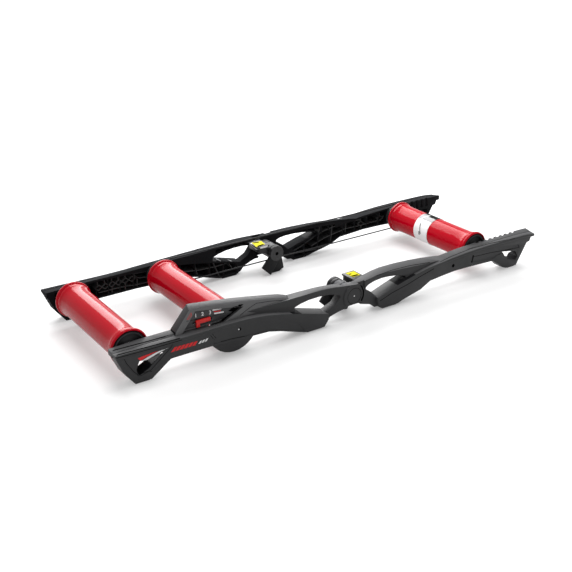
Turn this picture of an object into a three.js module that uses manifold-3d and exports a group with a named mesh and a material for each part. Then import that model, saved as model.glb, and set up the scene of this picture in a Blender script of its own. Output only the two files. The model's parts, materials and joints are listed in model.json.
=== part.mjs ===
// Folding bike rollers: three drums in a hinged moulded frame, with a magnetic brake on the middle drum.
// Millimetres. +X runs to the front drum, +Y to the belt side, +Z up, and the floor is at zero.
// Each side rail is made on the belt side, at +Y, and mirrored for the brake side.
import * as THREE from "three";
import { mergeVertices } from "three/addons/utils/BufferGeometryUtils.js";
import Module from "manifold-3d";

const wasm = await Module();
wasm.setup();

// Frame
const halfLength = 700; // hinge line to each end of the frame
const railHeight = 100; // floor to the flange's top
const railDepth = 40; // inner face to outer face at the ends
const drumHalf = 171.5; // middle of a drum to its end
const drumOffset = 14; // the drums lie this much nearer to the brake side, which leaves room for the belt
const drumGap = 5.3; // drum to rail on the brake side
const innerFace = drumHalf + drumOffset + drumGap; // middle of the frame to the rails' inner faces
const railWall = 3.5;
const ribWall = 2.2;
const flangeDepth = 6; // flange's top to the cells beneath it
const lipHeight = 6.5; // the flange's outer lip
const lipStep = 2.4;
const grooveWidth = 1.8;
const grooveDepth = 1.2;
const bandWidth = 23; // inner band of the rear flange
const overrun = 60; // how far a cutting solid runs past what it cuts
const seatGap = 0.3; // between pieces that touch

// Hinge
const hingePlace = -2.6; // along the frame
const hingeDrop = 34.4; // flange's top to the hinge line
const hingeHeight = railHeight - hingeDrop;
const earRadius = 35.5;
const earThickness = 8;
const earReach = 43.2; // the rails' inner faces to the ear's outer face
const earFace = innerFace + earReach;
const earDrop = 23.8; // the ear and the lug are cut flat this far under the pivot
const earFoot = hingeHeight - earDrop;
const earTopShare = 0.988; // and here above it, of railHeight
const lugRadius = 33;
const lapReach = 37; // pivot to where the arms regain their full width
const lapGap = 1;
const spindleRadius = 9;
const spindleClearance = 0.35;
const hingeDiscRadius = 22.6;
const hingeDiscThickness = 3;
const pinholeRadius = 2.2;
const barrelRadius = 22.5;
const barrelGrooveWidth = 3;
const barrelGrooveDepth = 1.2;
const armSetback = 19.2; // the rails' inner faces out to the arms' inner faces at the hinge
const armInside = innerFace + armSetback;
const hubReach = 52.8; // the rails' inner faces to the hubs' inner faces
const hubInside = innerFace - hubReach;
const hubThickness = 11;
const hubRadius = 23.6;
const legClearance = 0.5; // legs' soles to the floor
const legLength = hingeHeight - legClearance;
const plateReach = 43.8; // the rails' inner faces to the plates' free edges
const plateThickness = 5.5;
const plateRise = 30.4; // hinge line to the plates' tops
const plateTop = hingeHeight + plateRise;
const plateDepth = 22;
const plateLength = 42;
const plateStart = 22; // pivot to the plate's near edge

// Drums
const axlePlaceShares = { rear: -0.9171, middle: -0.5357, front: 0.7029 }; // of halfLength
const rearAxlePlace = axlePlaceShares.rear * halfLength;
const middleAxlePlace = axlePlaceShares.middle * halfLength;
const frontAxlePlace = axlePlaceShares.front * halfLength;
const axleDrop = 23; // flange's top to the axles
const axleHeight = railHeight - axleDrop;
const axleRadius = 6;
const axleClearance = 0.3;
const axleSeat = 18; // how far an axle reaches into a rail
const bossRadius = 13;
const bossEndShare = 0.9; // a boss ends at this share of railDepth
const drumRadius = 43;
const rimRadius = 49.6;
const rimWidth = 11;
const flareLength = 46;
const drumWall = 3;
const capRadius = 41.5;
const capDepth = 22;
const capWall = 4;
const bearingRadius = 16;
const bearingBore = 6.4;
const bearingWidth = 11;
const sealGrooveDepth = 0.3;
const sealGrooveWidth = 0.9;
const spacerRadius = 10;
const beltReach = 13.5; // drum's end to the belt
const beltPlane = drumHalf + beltReach; // middle of a drum to the belt
const beltRadius = 2;
const turnSteps = 12; // straight pieces of the belt round a pulley
const runSteps = 8; // and between the pulleys
const pulleyRadius = 38;
const pulleyNeckRadius = 31;
const pulleyFlange = 2;
const bandLength = 60;
const bandCentre = 22;
const bandThickness = 0.6;

// Notches that hold the front axle
const notchPitch = 21.6;
const notchCount = 8;
const notchDepth = 7;

// Brake
const discReach = 4.2; // the rail's inner face out to the brake disc
const brakeDiscPlane = innerFace + discReach;
const brakeDiscRadius = 56;
const brakeDiscThickness = 3;
const discClearance = 3;
const brakeHubRadius = 15;
const housingRadius = 73;
const housingWall = 3.5;
const housingDepth = 22.2; // the rail's inner face to the housing's floor
const housingFloor = innerFace + housingDepth;
const hoodReach = 23.2; // the rail's inner face to the hood's outer face at its top
const hoodFace = innerFace + hoodReach;
const hoodDraft = 4; // the hood's outer face runs out this far at its foot
const hoodFootFace = hoodFace + hoodDraft;
const hoodWall = 3;
const recessDepth = 5;
const recessFace = hoodFace - recessDepth;
const panelThickness = 1.2;
const sliderThickness = 6;
const sliderTravel = 20;
const sliderPlaceShare = -0.6543; // of halfLength
const sliderPlace = sliderPlaceShare * halfLength;
const sliderLength = 40;
const sliderRise = 1; // flange's top to the slider's underside
const sliderHeight = railHeight + sliderRise;
const sliderDepth = 15;
const stemWidth = 12;
const stemDepth = 5;
const carrierLength = 100;
const carrierHeight = 16;
const carrierThickness = 3;
const carrierFace = recessFace - hoodWall - lapGap;
const magnetPlaceShares = [0.22, 0.55]; // slider to each magnet, of carrierLength
const magnetRadius = 7;
const magnetThickness = 2.4;

// Feet
const padThickness = 3.7;
const padInset = 3;
const footSole = padThickness + seatGap;
const soleShare = footSole / railHeight;

const fine = 32; // faces round a drum
const coarse = 20; // faces round a small part

// Side outlines as shares of halfLength and railHeight, from the rear to the front
const rearUndersideShares = [
  [-1.001, 0.86], [-0.971, 0.365], [-0.935, soleShare], [-0.872, soleShare], [-0.796, 0.42], [-0.636, 0.43],
  [-0.399, 0.38], [-0.349, 0.296], [-0.291, 0.167], [-0.244, 0.063], [-0.229, soleShare], [-0.149, soleShare],
  [-0.13, 0.218],
];
const frontUndersideShares = [
  [0.11, 0.3], [0.126, 0.08], [0.139, soleShare], [0.219, soleShare], [0.244, 0.097], [0.34, 0.24], [0.393, 0.41],
  [0.531, 0.47], [0.618, 0.46], [0.757, 0.42], [0.81, 0.18], [0.822, 0.1], [0.842, 0.05], [0.856, soleShare],
  [0.906, soleShare], [0.961, 0.7], [0.977, 0.72], [0.984, 0.845], [1.002, 0.85],
];
// The arms' undersides, from the frame's end to the hinge, and the legs that run from the hinge to the feet
const rearArmShares = [
  [-1.001, 0.8], [-0.55, 0.8], [-0.42, 0.6], [-0.2727, 0.6], [-0.2727, 0.774], [-0.245, 0.835],
  [-0.21, 0.877], [-0.165, 0.89], [-0.12, 0.876], [-0.0804, 0.826], [-0.068, 0.79], [-0.0663, 0.727],
  [-0.0903, 0.534], [-0.134, 0.396], [-0.17, 0.3], [-0.17, 0.07], [-0.136, 0.07], [-0.127, 0.117],
  [-0.111, 0.225], [-0.072, 0.31], [-0.053, 0.34], [-0.036, 0.326], [-0.03, 0.4],
];
const frontArmShares = [
  [0.55, 0.6], [0.2663, 0.6], [0.2663, 0.76], [0.223, 0.844], [0.18, 0.888], [0.14, 0.907], [0.1, 0.895],
  [0.071, 0.856], [0.056, 0.8], [0.0544, 0.748], [0.0606, 0.686], [0.084, 0.61], [0.1146, 0.399],
  [0.16, 0.3], [0.16, 0.08], [0.107, 0.1], [0.086, 0.23], [0.012, 0.398],
];
// Sections along a lower beam: place, inner face, side, lip, top inside and top outside, the depths as
// shares of railDepth out from innerFace and the heights as shares of railHeight
const rearBeamShares = [
  [-1.01, 0, 0.94, 1, 0.942, 0.918], [-0.93, 0, 0.94, 1, 0.968, 0.912], [-0.853, 0, 0.94, 1, 0.985, 0.906],
  [-0.74, 0, 0.94, 1, 0.98, 0.9], [-0.623, 0, 0.98, 1.03, 0.95, 0.91], [-0.517, 0, 1.06, 1.08, 0.93, 0.915],
  [-0.409, 0, 1.1, 1.1, 0.86, 0.855], [-0.296, 0.04, 1.14, 1.14, 0.7, 0.69],
  [-0.21, 0.14, 1.17, 1.17, 0.545, 0.535], [-0.12, 0.18, 1.18, 1.18, 0.37, 0.36],
];
const frontBeamShares = [
  [0.1, 0.18, 1.16, 1.16, 0.395, 0.385], [0.12, 0.18, 1.16, 1.16, 0.43, 0.42],
  [0.171, 0.16, 1.14, 1.14, 0.54, 0.53], [0.254, 0.08, 1.11, 1.11, 0.685, 0.675],
  [0.363, 0.04, 1.06, 1.06, 0.83, 0.82], [0.457, 0.04, 0.98, 1, 0.89, 0.88],
  [0.539, 0.03, 0.95, 1, 0.94, 0.93], [0.61, 0.03, 0.95, 1, 0.97, 0.96],
  [0.711, 0.03, 0.95, 1, 0.99, 0.98], [0.9, 0.03, 0.95, 1, 1, 0.98], [0.957, 0.03, 0.95, 1, 1, 0.965],
  [1.01, 0.06, 0.95, 1.01, 0.995, 0.92],
];
// Sections along an upper arm: place, inner face, outer face, top inside and top outside
const rearArmBeamShares = [
  [-1.01, 0, 0.5, 0.94, 0.926], [-0.853, 0, 0.5, 0.984, 0.94], [-0.771, 0, 0.51, 0.985, 0.955],
  [-0.629, 0, 0.58, 1, 1],
  [-0.429, 0, 0.69, 1.03, 1.03], [-0.306, 0.04, 0.77, 1.04, 1.04], [-0.157, 0.23, 0.84, 1.065, 1.065],
  [-0.086, 0.35, 0.93, 1.04, 1.04], [0, 0.48, 1.08, 0.988, 0.988], [0.08, 0.48, 1.08, 0.97, 0.97],
];
const frontArmBeamShares = [
  [-0.08, 0.48, 1.08, 0.97, 0.97], [0.014, 0.48, 1.08, 0.988, 0.988], [0.069, 0.23, 0.97, 1.025, 1.01],
  [0.164, 0.03, 0.84, 1.075, 1.03], [0.321, 0.02, 0.84, 1.04, 0.97], [0.45, 0.03, 0.69, 0.945, 0.89],
  [0.501, 0.03, 0.55, 0.89, 0.86], [0.56, 0.03, 0.5, 0.86, 0.84],
];
// Windows in the end feet
const rearWindowShares = [
  [-0.809, 0.72], [-0.843, 0.62], [-0.881, 0.57], [-0.914, 0.6], [-0.926, 0.4], [-0.923, 0.25], [-0.913, 0.23],
  [-0.88, 0.34], [-0.839, 0.56],
];
const frontWindowShares = [
  [0.812, 0.62], [0.858, 0.575], [0.894, 0.51], [0.909, 0.33], [0.9, 0.22], [0.853, 0.31], [0.832, 0.43],
];
// Recessed side panels of the lower beams, and of the rear beam's end foot
const rearPanelShares = [
  [-0.621, 0.808], [-0.462, 0.777], [-0.334, 0.639], [-0.265, 0.36], [-0.241, 0.1], [-0.29, 0.21],
  [-0.35, 0.34], [-0.4, 0.42], [-0.63, 0.47],
];
const rearFootPanelShares = [
  [-0.975, 0.79], [-0.953, 0.467], [-0.926, 0.235], [-0.912, 0.21], [-0.874, 0.276], [-0.83, 0.52],
  [-0.79, 0.74], [-0.785, 0.79],
];
const frontPanelShares = [
  [0.63, 0.82], [0.72, 0.775], [0.805, 0.735], [0.905, 0.725], [0.917, 0.6], [0.85, 0.62], [0.79, 0.56],
  [0.752, 0.49], [0.7, 0.53], [0.63, 0.59],
];
const panelRecess = 1.6;
const frontGrooveStartShare = 0.62; // the front flange's groove runs from here to its end
// Places of the ribs that cross the rails' inner sides
const rearRibShares = [-0.97, -0.8, -0.75, -0.7, -0.64, -0.57, -0.5, -0.43, -0.36, -0.29, -0.22, -0.15];
const frontRibShares = [0.14, 0.2, 0.27, 0.34, 0.41, 0.48, 0.55, 0.62, 0.68, 0.75, 0.81, 0.93];
const rearArmRibShares = [-0.26, -0.22, -0.18, -0.14, -0.1];
const frontArmRibShares = [0.09, 0.13, 0.17, 0.21, 0.25, 0.29, 0.33, 0.37];

// Hood over the brake: its side outline; its foot and its top, each inside and outside, as shares of
// railHeight along the frame; and the recess that holds the setting panel
const hoodSideShares = [[-0.772, 0.85], [-0.7655, 1.01], [-0.694, 1.6], [-0.28, 1.6], [-0.288, 0.85]];
const hoodTopShares = [
  [-0.78, 0.975, 0.922, 1.55, 1.49], [-0.694, 0.96, 0.918, 1.545, 1.48], [-0.52, 0.925, 0.914, 1.385, 1.345],
  [-0.4, 0.94, 0.94, 1.24, 1.21], [-0.32, 0.965, 0.965, 1.13, 1.1], [-0.28, 0.98, 0.98, 1.03, 1.015],
];
const recessShares = [[-0.75, 0.85], [-0.684, 1.41], [-0.49, 1.185], [-0.597, 0.85]];
const panelShares = [[-0.731, 0.98], [-0.6835, 1.385], [-0.5, 1.167], [-0.562, 0.98]];

// A drum's profile: shares of flareLength, and of rimRound under the rim's crest with shares of rimWidth
const flareShares = [0, 0.25, 0.5, 0.75, 1];
const rimRound = 3;
const rimShares = [[0.67, 1], [0.33, 0.8], [0, 0.45], [0.33, 0.1], [1, 0]];
// A guard plate's deeper middle, as shares of its length
const plateBodyShares = [0.12, 0.8];

// Feet of the centre legs, as shares of legLength from the pivot
const rearLegShares = [[-0.34, -0.1], [-0.753, -0.6], [-0.336, -0.995], [0.22, -0.2]];
const frontLegShares = [[-0.27, -0.24], [-0.144, -0.995], [0.255, -0.995], [0.5, -0.854], [0.345, -0.1]];

const lerp = THREE.MathUtils.lerp;

// A closed geometry, its doubled vertices merged, as a solid for joining and cutting.
function solidOf(geometry) {
  const bare = geometry.clone();
  bare.deleteAttribute("normal");
  bare.deleteAttribute("uv");
  const merged = mergeVertices(bare, 1e-4);
  const triVerts = new Uint32Array(merged.index.array);
  return new wasm.Manifold(
    new wasm.Mesh({ numProp: 3, vertProperties: merged.attributes.position.array, triVerts }),
  );
}

// A solid turned back into a geometry that can be drawn.
function geometryOf(solid) {
  const mesh = solid.getMesh();
  const geometry = new THREE.BufferGeometry();
  geometry.setAttribute("position", new THREE.BufferAttribute(mesh.vertProperties, mesh.numProp));
  geometry.setIndex(new THREE.BufferAttribute(mesh.triVerts, 1));
  geometry.computeVertexNormals();
  return geometry;
}

// A side outline, [x, z], run across the frame from one depth to another.
function prism(outline, from, to) {
  const shape = new THREE.Shape(outline.map(([x, z]) => new THREE.Vector2(x, z)));
  const geometry = new THREE.ExtrudeGeometry(shape, { depth: to - from, bevelEnabled: false });
  return solidOf(geometry.rotateX(Math.PI / 2).translate(0, to, 0));
}

// A round bar across the frame.
function bar(x, z, radius, from, to, faces = coarse) {
  const geometry = new THREE.CylinderGeometry(radius, radius, to - from, faces);
  return solidOf(geometry.translate(x, (from + to) / 2, z));
}

// A box between two corners.
function block(x0, x1, y0, y1, z0, z1) {
  const geometry = new THREE.BoxGeometry(x1 - x0, y1 - y0, z1 - z0);
  return solidOf(geometry.translate((x0 + x1) / 2, (y0 + y1) / 2, (z0 + z1) / 2));
}

// A profile, [radius, y], turned about an axle that runs across the frame.
function turned(profile, faces) {
  const points = profile.map(([radius, y]) => new THREE.Vector2(radius, y));
  return new THREE.LatheGeometry([...points, points[0]], faces);
}

// Sections across the frame, each { x, ring: [[y, z], ...] }, skinned into one closed body.
function loft(sections) {
  const size = sections[0].ring.length;
  const positions = sections.flatMap(({ x, ring }) => ring.flatMap(([y, z]) => [x, y, z]));
  const index = [];
  for (let s = 0; s + 1 < sections.length; s++)
    for (let i = 0; i < size; i++) {
      const a = s * size + i;
      const b = s * size + ((i + 1) % size);
      index.push(a, b, a + size, b, b + size, a + size);
    }
  const faces = THREE.ShapeUtils.triangulateShape(
    sections[0].ring.map(([y, z]) => new THREE.Vector2(y, z)),
    [],
  );
  const last = (sections.length - 1) * size;
  for (const [a, b, c] of faces) index.push(a, c, b, last + a, last + b, last + c);
  const geometry = new THREE.BufferGeometry();
  geometry.setAttribute("position", new THREE.Float32BufferAttribute(positions, 3));
  geometry.setIndex(index);
  return solidOf(geometry);
}

// The rows of a table at any place, on smooth curves through its values.
function curveAt(table, place) {
  const last = table.length - 1;
  let k = 0;
  while (k < last - 1 && table[k + 1][0] < place) k++;
  const [p, q] = [table[k], table[k + 1]];
  const [before, after] = [table[Math.max(k - 1, 0)], table[Math.min(k + 2, last)]];
  const step = q[0] - p[0];
  const u = THREE.MathUtils.clamp((place - p[0]) / step, 0, 1);
  return p.map((value, column) => {
    const slopeIn = ((q[column] - before[column]) / (q[0] - before[0])) * step;
    const slopeOut = ((after[column] - value) / (after[0] - p[0])) * step;
    return (
      value * (2 * u ** 3 - 3 * u ** 2 + 1) +
      slopeIn * (u ** 3 - 2 * u ** 2 + u) +
      q[column] * (3 * u ** 2 - 2 * u ** 3) +
      slopeOut * (u ** 3 - u ** 2)
    );
  });
}

// A table read straight from row to row.
function lineAt(table, place) {
  let k = 0;
  while (k < table.length - 2 && table[k + 1][0] < place) k++;
  const [p, q] = [table[k], table[k + 1]];
  const u = THREE.MathUtils.clamp((place - p[0]) / (q[0] - p[0]), 0, 1);
  return p.map((value, column) => lerp(value, q[column], u));
}

const side = (shares) => shares.map(([x, z]) => [x * halfLength, z * railHeight]);
const outward = (share) => innerFace + share * railDepth;
const placesOf = (table, steps) =>
  table.flatMap(([x], k) =>
    k + 1 < table.length
      ? Array.from({ length: steps }, (_, i) => lerp(x, table[k + 1][0], i / steps))
      : [x],
  );

// The space that a lower beam fills, with its flange's lip
function beamSpace(table, inset = 0) {
  return loft(
    placesOf(table, 2).map((place) => {
      const [x, inside, flank, lip, topInside, topOutside] = curveAt(table, place);
      const top = topOutside * railHeight;
      const back = inset > 0 ? -overrun / railDepth : inside;
      const backTop = lerp(topInside, topOutside, (back - inside) / (lip - inside)) * railHeight;
      const ring = [
        [outward(back), -overrun],
        [outward(flank) - lipStep / 2 - inset, -overrun],
        [outward(flank) - inset, top - lipHeight - lipStep],
        [outward(lip) - inset, top - lipHeight],
        [outward(lip) - inset, top - inset],
        [outward(back), backTop - inset],
      ];
      return { x: x * halfLength, ring };
    }),
  );
}

// The space that an upper arm fills
function armSpace(table, inset = 0) {
  return loft(
    placesOf(table, 2).map((place) => {
      const [x, inside, outside, topInside, topOutside] = curveAt(table, place);
      const back = inset > 0 ? -overrun / railDepth : inside + inset / railDepth;
      const backTop = lerp(topInside, topOutside, (back - inside) / (outside - inside)) * railHeight;
      const ring = [
        [outward(back), -overrun],
        [outward(outside) - inset, -overrun],
        [outward(outside) - inset, topOutside * railHeight - inset],
        [outward(back), backTop - inset],
      ];
      return { x: x * halfLength, ring };
    }),
  );
}

// Open cells between ribs, cut into a rail from its inner side
function cells(ribShares, undersideAt, ceilingAt) {
  return ribShares.slice(1).map((end, k) => {
    const start = ribShares[k];
    const [x0, x1] = [start * halfLength + ribWall / 2, end * halfLength - ribWall / 2];
    const floor = (x) => undersideAt(x / halfLength) * railHeight + railWall;
    const ceiling = (x) => Math.max(ceilingAt(x / halfLength) * railHeight - flangeDepth, floor(x) + ribWall);
    const outline = [[x0, floor(x0)], [x1, floor(x1)], [x1, ceiling(x1)], [x0, ceiling(x0)]];
    return prism(outline, innerFace - overrun, innerFace + 2 * railDepth);
  });
}

const join = (solids) => solids.reduce((sum, solid) => sum.add(solid));

// The solid parts that a rail's two members have in common, before ribs and holes
function memberOutline(underside, rear) {
  const end = rear ? underside.at(-1) : underside[0];
  const outer = rear ? underside[0] : underside.at(-1);
  const top = railHeight + overrun;
  const outline = rear
    ? [[outer[0], top], ...underside, [end[0], top]]
    : [...underside, [outer[0], top], [end[0], top]];
  return outline;
}

// A rear rail: lower beam with two feet, upper arm, and the hinge's outer ear
function rearRail(braked) {
  const top = railHeight + overrun;
  const beam = prism(memberOutline(side(rearUndersideShares), true), 0, innerFace + 2 * railDepth).intersect(
    beamSpace(rearBeamShares),
  );
  const armOutline = [...side(rearArmShares), [hingePlace, earFoot], [hingePlace, top]];
  const arm = prism([...armOutline, [rearArmShares[0][0] * halfLength, top]], 0, innerFace + 2 * railDepth).intersect(
    armSpace(rearArmBeamShares),
  );
  const ear = bar(hingePlace, hingeHeight, earRadius, earFace - earThickness, earFace, fine).intersect(
    block(hingePlace - overrun, hingePlace + overrun, 0, 2 * earFace, earFoot, earTopShare * railHeight),
  );
  let rail = join([beam, arm, ear]);
  const beamTop = (place) => lineAt(rearBeamShares, place)[4];
  const armUnder = (place) => lineAt(rearArmShares.slice(3, 12), place)[1];
  const armTop = (place) => lineAt(rearArmBeamShares, place)[4];
  const beamUnder = (place) => lineAt(rearUndersideShares, place)[1];
  const beamCells = join(cells(rearRibShares, beamUnder, beamTop))
    .intersect(beamSpace(rearBeamShares, railWall))
    .subtract(bar(middleAxlePlace, axleHeight, braked ? housingRadius : bossRadius, 0, 2 * earFace, fine));
  const armCells = join(cells(rearArmRibShares, armUnder, armTop)).intersect(
    armSpace(rearArmBeamShares, railWall),
  );
  rail = rail.subtract(beamCells).subtract(armCells);
  rail = rail.add(bar(rearAxlePlace, axleHeight, bossRadius, innerFace, outward(bossEndShare)));
  if (braked) {
    const housing = bar(
      middleAxlePlace, axleHeight, housingRadius, innerFace, housingFloor + 2 * housingWall, fine,
    );
    const room = bar(
      middleAxlePlace, axleHeight, housingRadius - housingWall, innerFace - overrun, housingFloor, fine,
    );
    const below = block(
      -halfLength, 0, 0, 2 * earFace, 0, beamTop(axlePlaceShares.middle) * railHeight - flangeDepth,
    );
    rail = rail.add(housing.intersect(below)).subtract(room).subtract(hoodSpace(-seatGap));
    const bossStart = brakeDiscPlane + brakeDiscThickness + discClearance;
    rail = rail.add(bar(middleAxlePlace, axleHeight, bossRadius, bossStart, outward(bossEndShare)));
  } else {
    rail = rail.add(bar(middleAxlePlace, axleHeight, bossRadius, innerFace, outward(bossEndShare)));
  }
  for (const place of [rearAxlePlace, middleAxlePlace])
    rail = rail.subtract(
      bar(place, axleHeight, axleRadius + axleClearance, 0, innerFace + axleSeat + seatGap),
    );
  return hingeRearCuts(
    cutSides(rail, rearWindowShares, [rearPanelShares, rearFootPanelShares], rearBeamShares),
  ).subtract(flangeGroove(rearBeamShares, rearBeamShares[0][0], hoodSideShares[0][0] - railWall / halfLength));
}

// The window through an end foot, and the shallow panels on the outer side
function cutSides(rail, windowShares, panels, beamShares) {
  const window = prism(side(windowShares), 0, innerFace + 2 * railDepth);
  const panel = join(panels.map((shares) => prism(side(shares), innerFace, innerFace + 2 * railDepth)));
  return rail.subtract(window).subtract(panel.subtract(beamSpace(beamShares, panelRecess)));
}

// A groove along a flange, between its inner and outer bands
function flangeGroove(beamShares, from, to) {
  const [y0, y1] = [innerFace + bandWidth, innerFace + bandWidth + grooveWidth];
  const between = placesOf(beamShares, 2).filter((place) => place > from && place < to);
  return loft(
    [from, ...between, to].map((place) => {
      const [x, inside, , lip, topInside, topOutside] = curveAt(beamShares, place);
      const across = (bandWidth / railDepth - inside) / (lip - inside);
      const floor = lerp(topInside, topOutside, across) * railHeight - grooveDepth;
      return { x: x * halfLength, ring: [[y0, floor], [y1, floor], [y1, floor + overrun], [y0, floor + overrun]] };
    }),
  );
}

// The rear half's share of the lapped hinge: the inner side is cleared for the front half's lug
function hingeRearCuts(rail) {
  const inner = earFace - earThickness;
  const round = bar(hingePlace, hingeHeight, lugRadius + lapGap, 0, inner, fine);
  const square = block(
    hingePlace - lapReach - seatGap, hingePlace + overrun, 0, inner, hingeHeight - lapGap, railHeight + overrun,
  );
  const bore = bar(hingePlace, hingeHeight, spindleRadius + seatGap, 0, earFace + overrun);
  const discSeat = bar(
    hingePlace, hingeHeight, hingeDiscRadius + seatGap, earFace - hingeDiscThickness - seatGap, earFace + overrun,
    fine,
  );
  return rail.subtract(join([round, square, bore, discSeat]));
}

// A front rail: the same two members, the hinge's inner lug and the notches for the front axle
function frontRail() {
  const top = railHeight + overrun;
  const outside = innerFace + 2 * railDepth;
  const beam = prism(memberOutline(side(frontUndersideShares), false), 0, outside).intersect(
    beamSpace(frontBeamShares),
  );
  const first = frontArmShares[0];
  const armOutline = [
    [hingePlace, top], [hingePlace, earFoot], ...side([...frontArmShares].reverse()),
    [first[0] * halfLength, top],
  ];
  const arm = prism(armOutline, 0, outside).intersect(armSpace(frontArmBeamShares));
  const lug = bar(hingePlace, hingeHeight, lugRadius, armInside, earFace - earThickness - seatGap, fine)
    .intersect(block(hingePlace - overrun, hingePlace + overrun, 0, outside, earFoot, earTopShare * railHeight));
  let rail = join([beam, arm, lug]);
  const beamUnder = (place) => lineAt(frontUndersideShares, place)[1];
  const beamTop = (place) => lineAt(frontBeamShares, place)[4];
  const armUnder = (place) => lineAt([...frontArmShares.slice(1, 10)].reverse(), place)[1];
  const armTop = (place) => lineAt(frontArmBeamShares, place)[4];
  const beamCells = join(cells(frontRibShares, beamUnder, beamTop)).intersect(
    beamSpace(frontBeamShares, railWall),
  );
  const armCells = join(cells(frontArmRibShares, armUnder, armTop)).intersect(
    armSpace(frontArmBeamShares, railWall),
  );
  rail = rail.subtract(beamCells).subtract(armCells);
  const lastNotch = frontAxlePlace + notchPitch * (notchCount - 1);
  rail = rail.add(
    block(
      frontAxlePlace - bossRadius, lastNotch + bossRadius,
      outward(frontBeamShares.at(-2)[1]), innerFace + notchDepth + railWall,
      axleHeight - bossRadius, frontBeamShares.at(-2)[5] * railHeight - grooveDepth,
    ),
  );
  for (let n = 0; n < notchCount; n++) {
    const place = frontAxlePlace + n * notchPitch;
    const half = axleRadius + axleClearance;
    const reach = innerFace + notchDepth + seatGap;
    rail = rail.subtract(bar(place, axleHeight, half, 0, reach));
    rail = rail.subtract(block(place - half, place + half, 0, reach, axleHeight, top));
  }
  return hingeFrontCuts(cutSides(rail, frontWindowShares, [frontPanelShares], frontBeamShares)).subtract(
    flangeGroove(frontBeamShares, frontGrooveStartShare, frontBeamShares.at(-1)[0]),
  );
}

// The front half's share of the lapped hinge: the outer side is cleared for the rear half's ear
function hingeFrontCuts(rail) {
  const inner = earFace - earThickness - seatGap;
  const round = bar(hingePlace, hingeHeight, earRadius + lapGap, inner, earFace + overrun, fine);
  const square = block(
    hingePlace - overrun, hingePlace + lapReach, inner, earFace + overrun, hingeHeight, railHeight + overrun,
  );
  const behind = block(hingePlace - overrun, hingePlace, inner, earFace + overrun, 0, railHeight + overrun);
  const bore = bar(hingePlace, hingeHeight, spindleRadius + spindleClearance, 0, earFace + overrun);
  const barrelRoom = bar(hingePlace, hingeHeight, barrelRadius + lapGap, 0, armInside, fine);
  return rail.subtract(join([round, square, behind, bore, barrelRoom]));
}

// The rows of an underside that lie at the feet's soles, two to a foot
function soleRows(shares) {
  return shares.flatMap(([, height], row) => (height === soleShare ? [row] : []));
}

// Rubber pads under the feet, each under one level stretch of an underside
function pad(shares, rows, beamShares) {
  const [from, to] = rows.map((row) => shares[row][0] * halfLength);
  const [, inside, flank] = curveAt(beamShares, (from + to) / 2 / halfLength);
  return block(
    from + padInset, to - padInset, outward(inside) + padInset, outward(flank) - lipStep - padInset, 0, padThickness,
  );
}

// A drum's shell: a tube with beaded rims, flared at both ends and bored for its caps
function drumShell() {
  const flare = flareShares.map((u) => [
    lerp(drumRadius, rimRadius - rimRound * rimShares[0][0], u ** 2), drumHalf - rimWidth - flareLength * (1 - u),
  ]);
  const bead = rimShares.slice(1).map(([drop, inward]) => [rimRadius - rimRound * drop, drumHalf - rimWidth * inward]);
  const bore = [
    [capRadius + seatGap, drumHalf],
    [capRadius + seatGap, drumHalf - capDepth - seatGap],
    [drumRadius - drumWall, drumHalf - capDepth - seatGap],
  ];
  const half = [...flare, ...bead, ...bore];
  const mirrored = half.map(([radius, y]) => [radius, -y]).reverse();
  return turned([...mirrored, ...half], fine);
}

// A drum's end cap: a dished disc with a bearing seat, and on the belt side a grooved pulley
function endCap(pulley) {
  const face = drumHalf - capWall;
  const seat = bearingRadius + seatGap;
  const hub = bearingRadius + capWall;
  const grooveHalf = beltRadius + seatGap;
  const flangeRadius = pulleyRadius + beltRadius;
  const rim = pulley
    ? [
        [pulleyNeckRadius, face], [pulleyNeckRadius, beltPlane - grooveHalf - 2 * pulleyFlange],
        [flangeRadius, beltPlane - grooveHalf - pulleyFlange], [flangeRadius, beltPlane - grooveHalf],
        [pulleyRadius, beltPlane - grooveHalf + seatGap], [pulleyRadius, beltPlane + grooveHalf - seatGap],
        [flangeRadius, beltPlane + grooveHalf], [flangeRadius, beltPlane + grooveHalf + pulleyFlange],
      ]
    : [[capRadius - capWall, face], [capRadius - capWall, drumHalf - capWall / 2]];
  return turned(
    [
      [seat, drumHalf - capDepth], [hub, drumHalf - capDepth], [hub, face - capWall],
      [capRadius - capWall, face - capWall], [capRadius - capWall, drumHalf - capDepth],
      [capRadius, drumHalf - capDepth], [capRadius, face], ...rim, [seat, rim.at(-1)[1]],
    ],
    coarse + 4,
  );
}

// The printed band round the front drum
function drumBand() {
  const [inner, outer] = [drumRadius + seatGap, drumRadius + seatGap + bandThickness];
  const [from, to] = [bandCentre - bandLength / 2, bandCentre + bandLength / 2];
  return turned([[inner, from], [outer, from], [outer, to], [inner, to]], fine);
}

function bearing() {
  const [inner, outer] = [drumHalf - capDepth, drumHalf - capDepth + bearingWidth];
  const middle = (bearingRadius + bearingBore) / 2;
  return turned(
    [
      [bearingBore, inner], [bearingRadius, inner], [bearingRadius, outer],
      [middle + sealGrooveWidth / 2, outer], [middle, outer - sealGrooveDepth],
      [middle - sealGrooveWidth / 2, outer], [bearingBore, outer],
    ],
    coarse,
  );
}

// A sleeve on the axle between the belt side's bearing and rail
function axleSpacer() {
  const [from, to] = [drumHalf - capDepth + bearingWidth + seatGap, innerFace + drumOffset - seatGap];
  return turned([[bearingBore, from], [spacerRadius, from], [spacerRadius, to], [bearingBore, to]], coarse);
}

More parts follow.
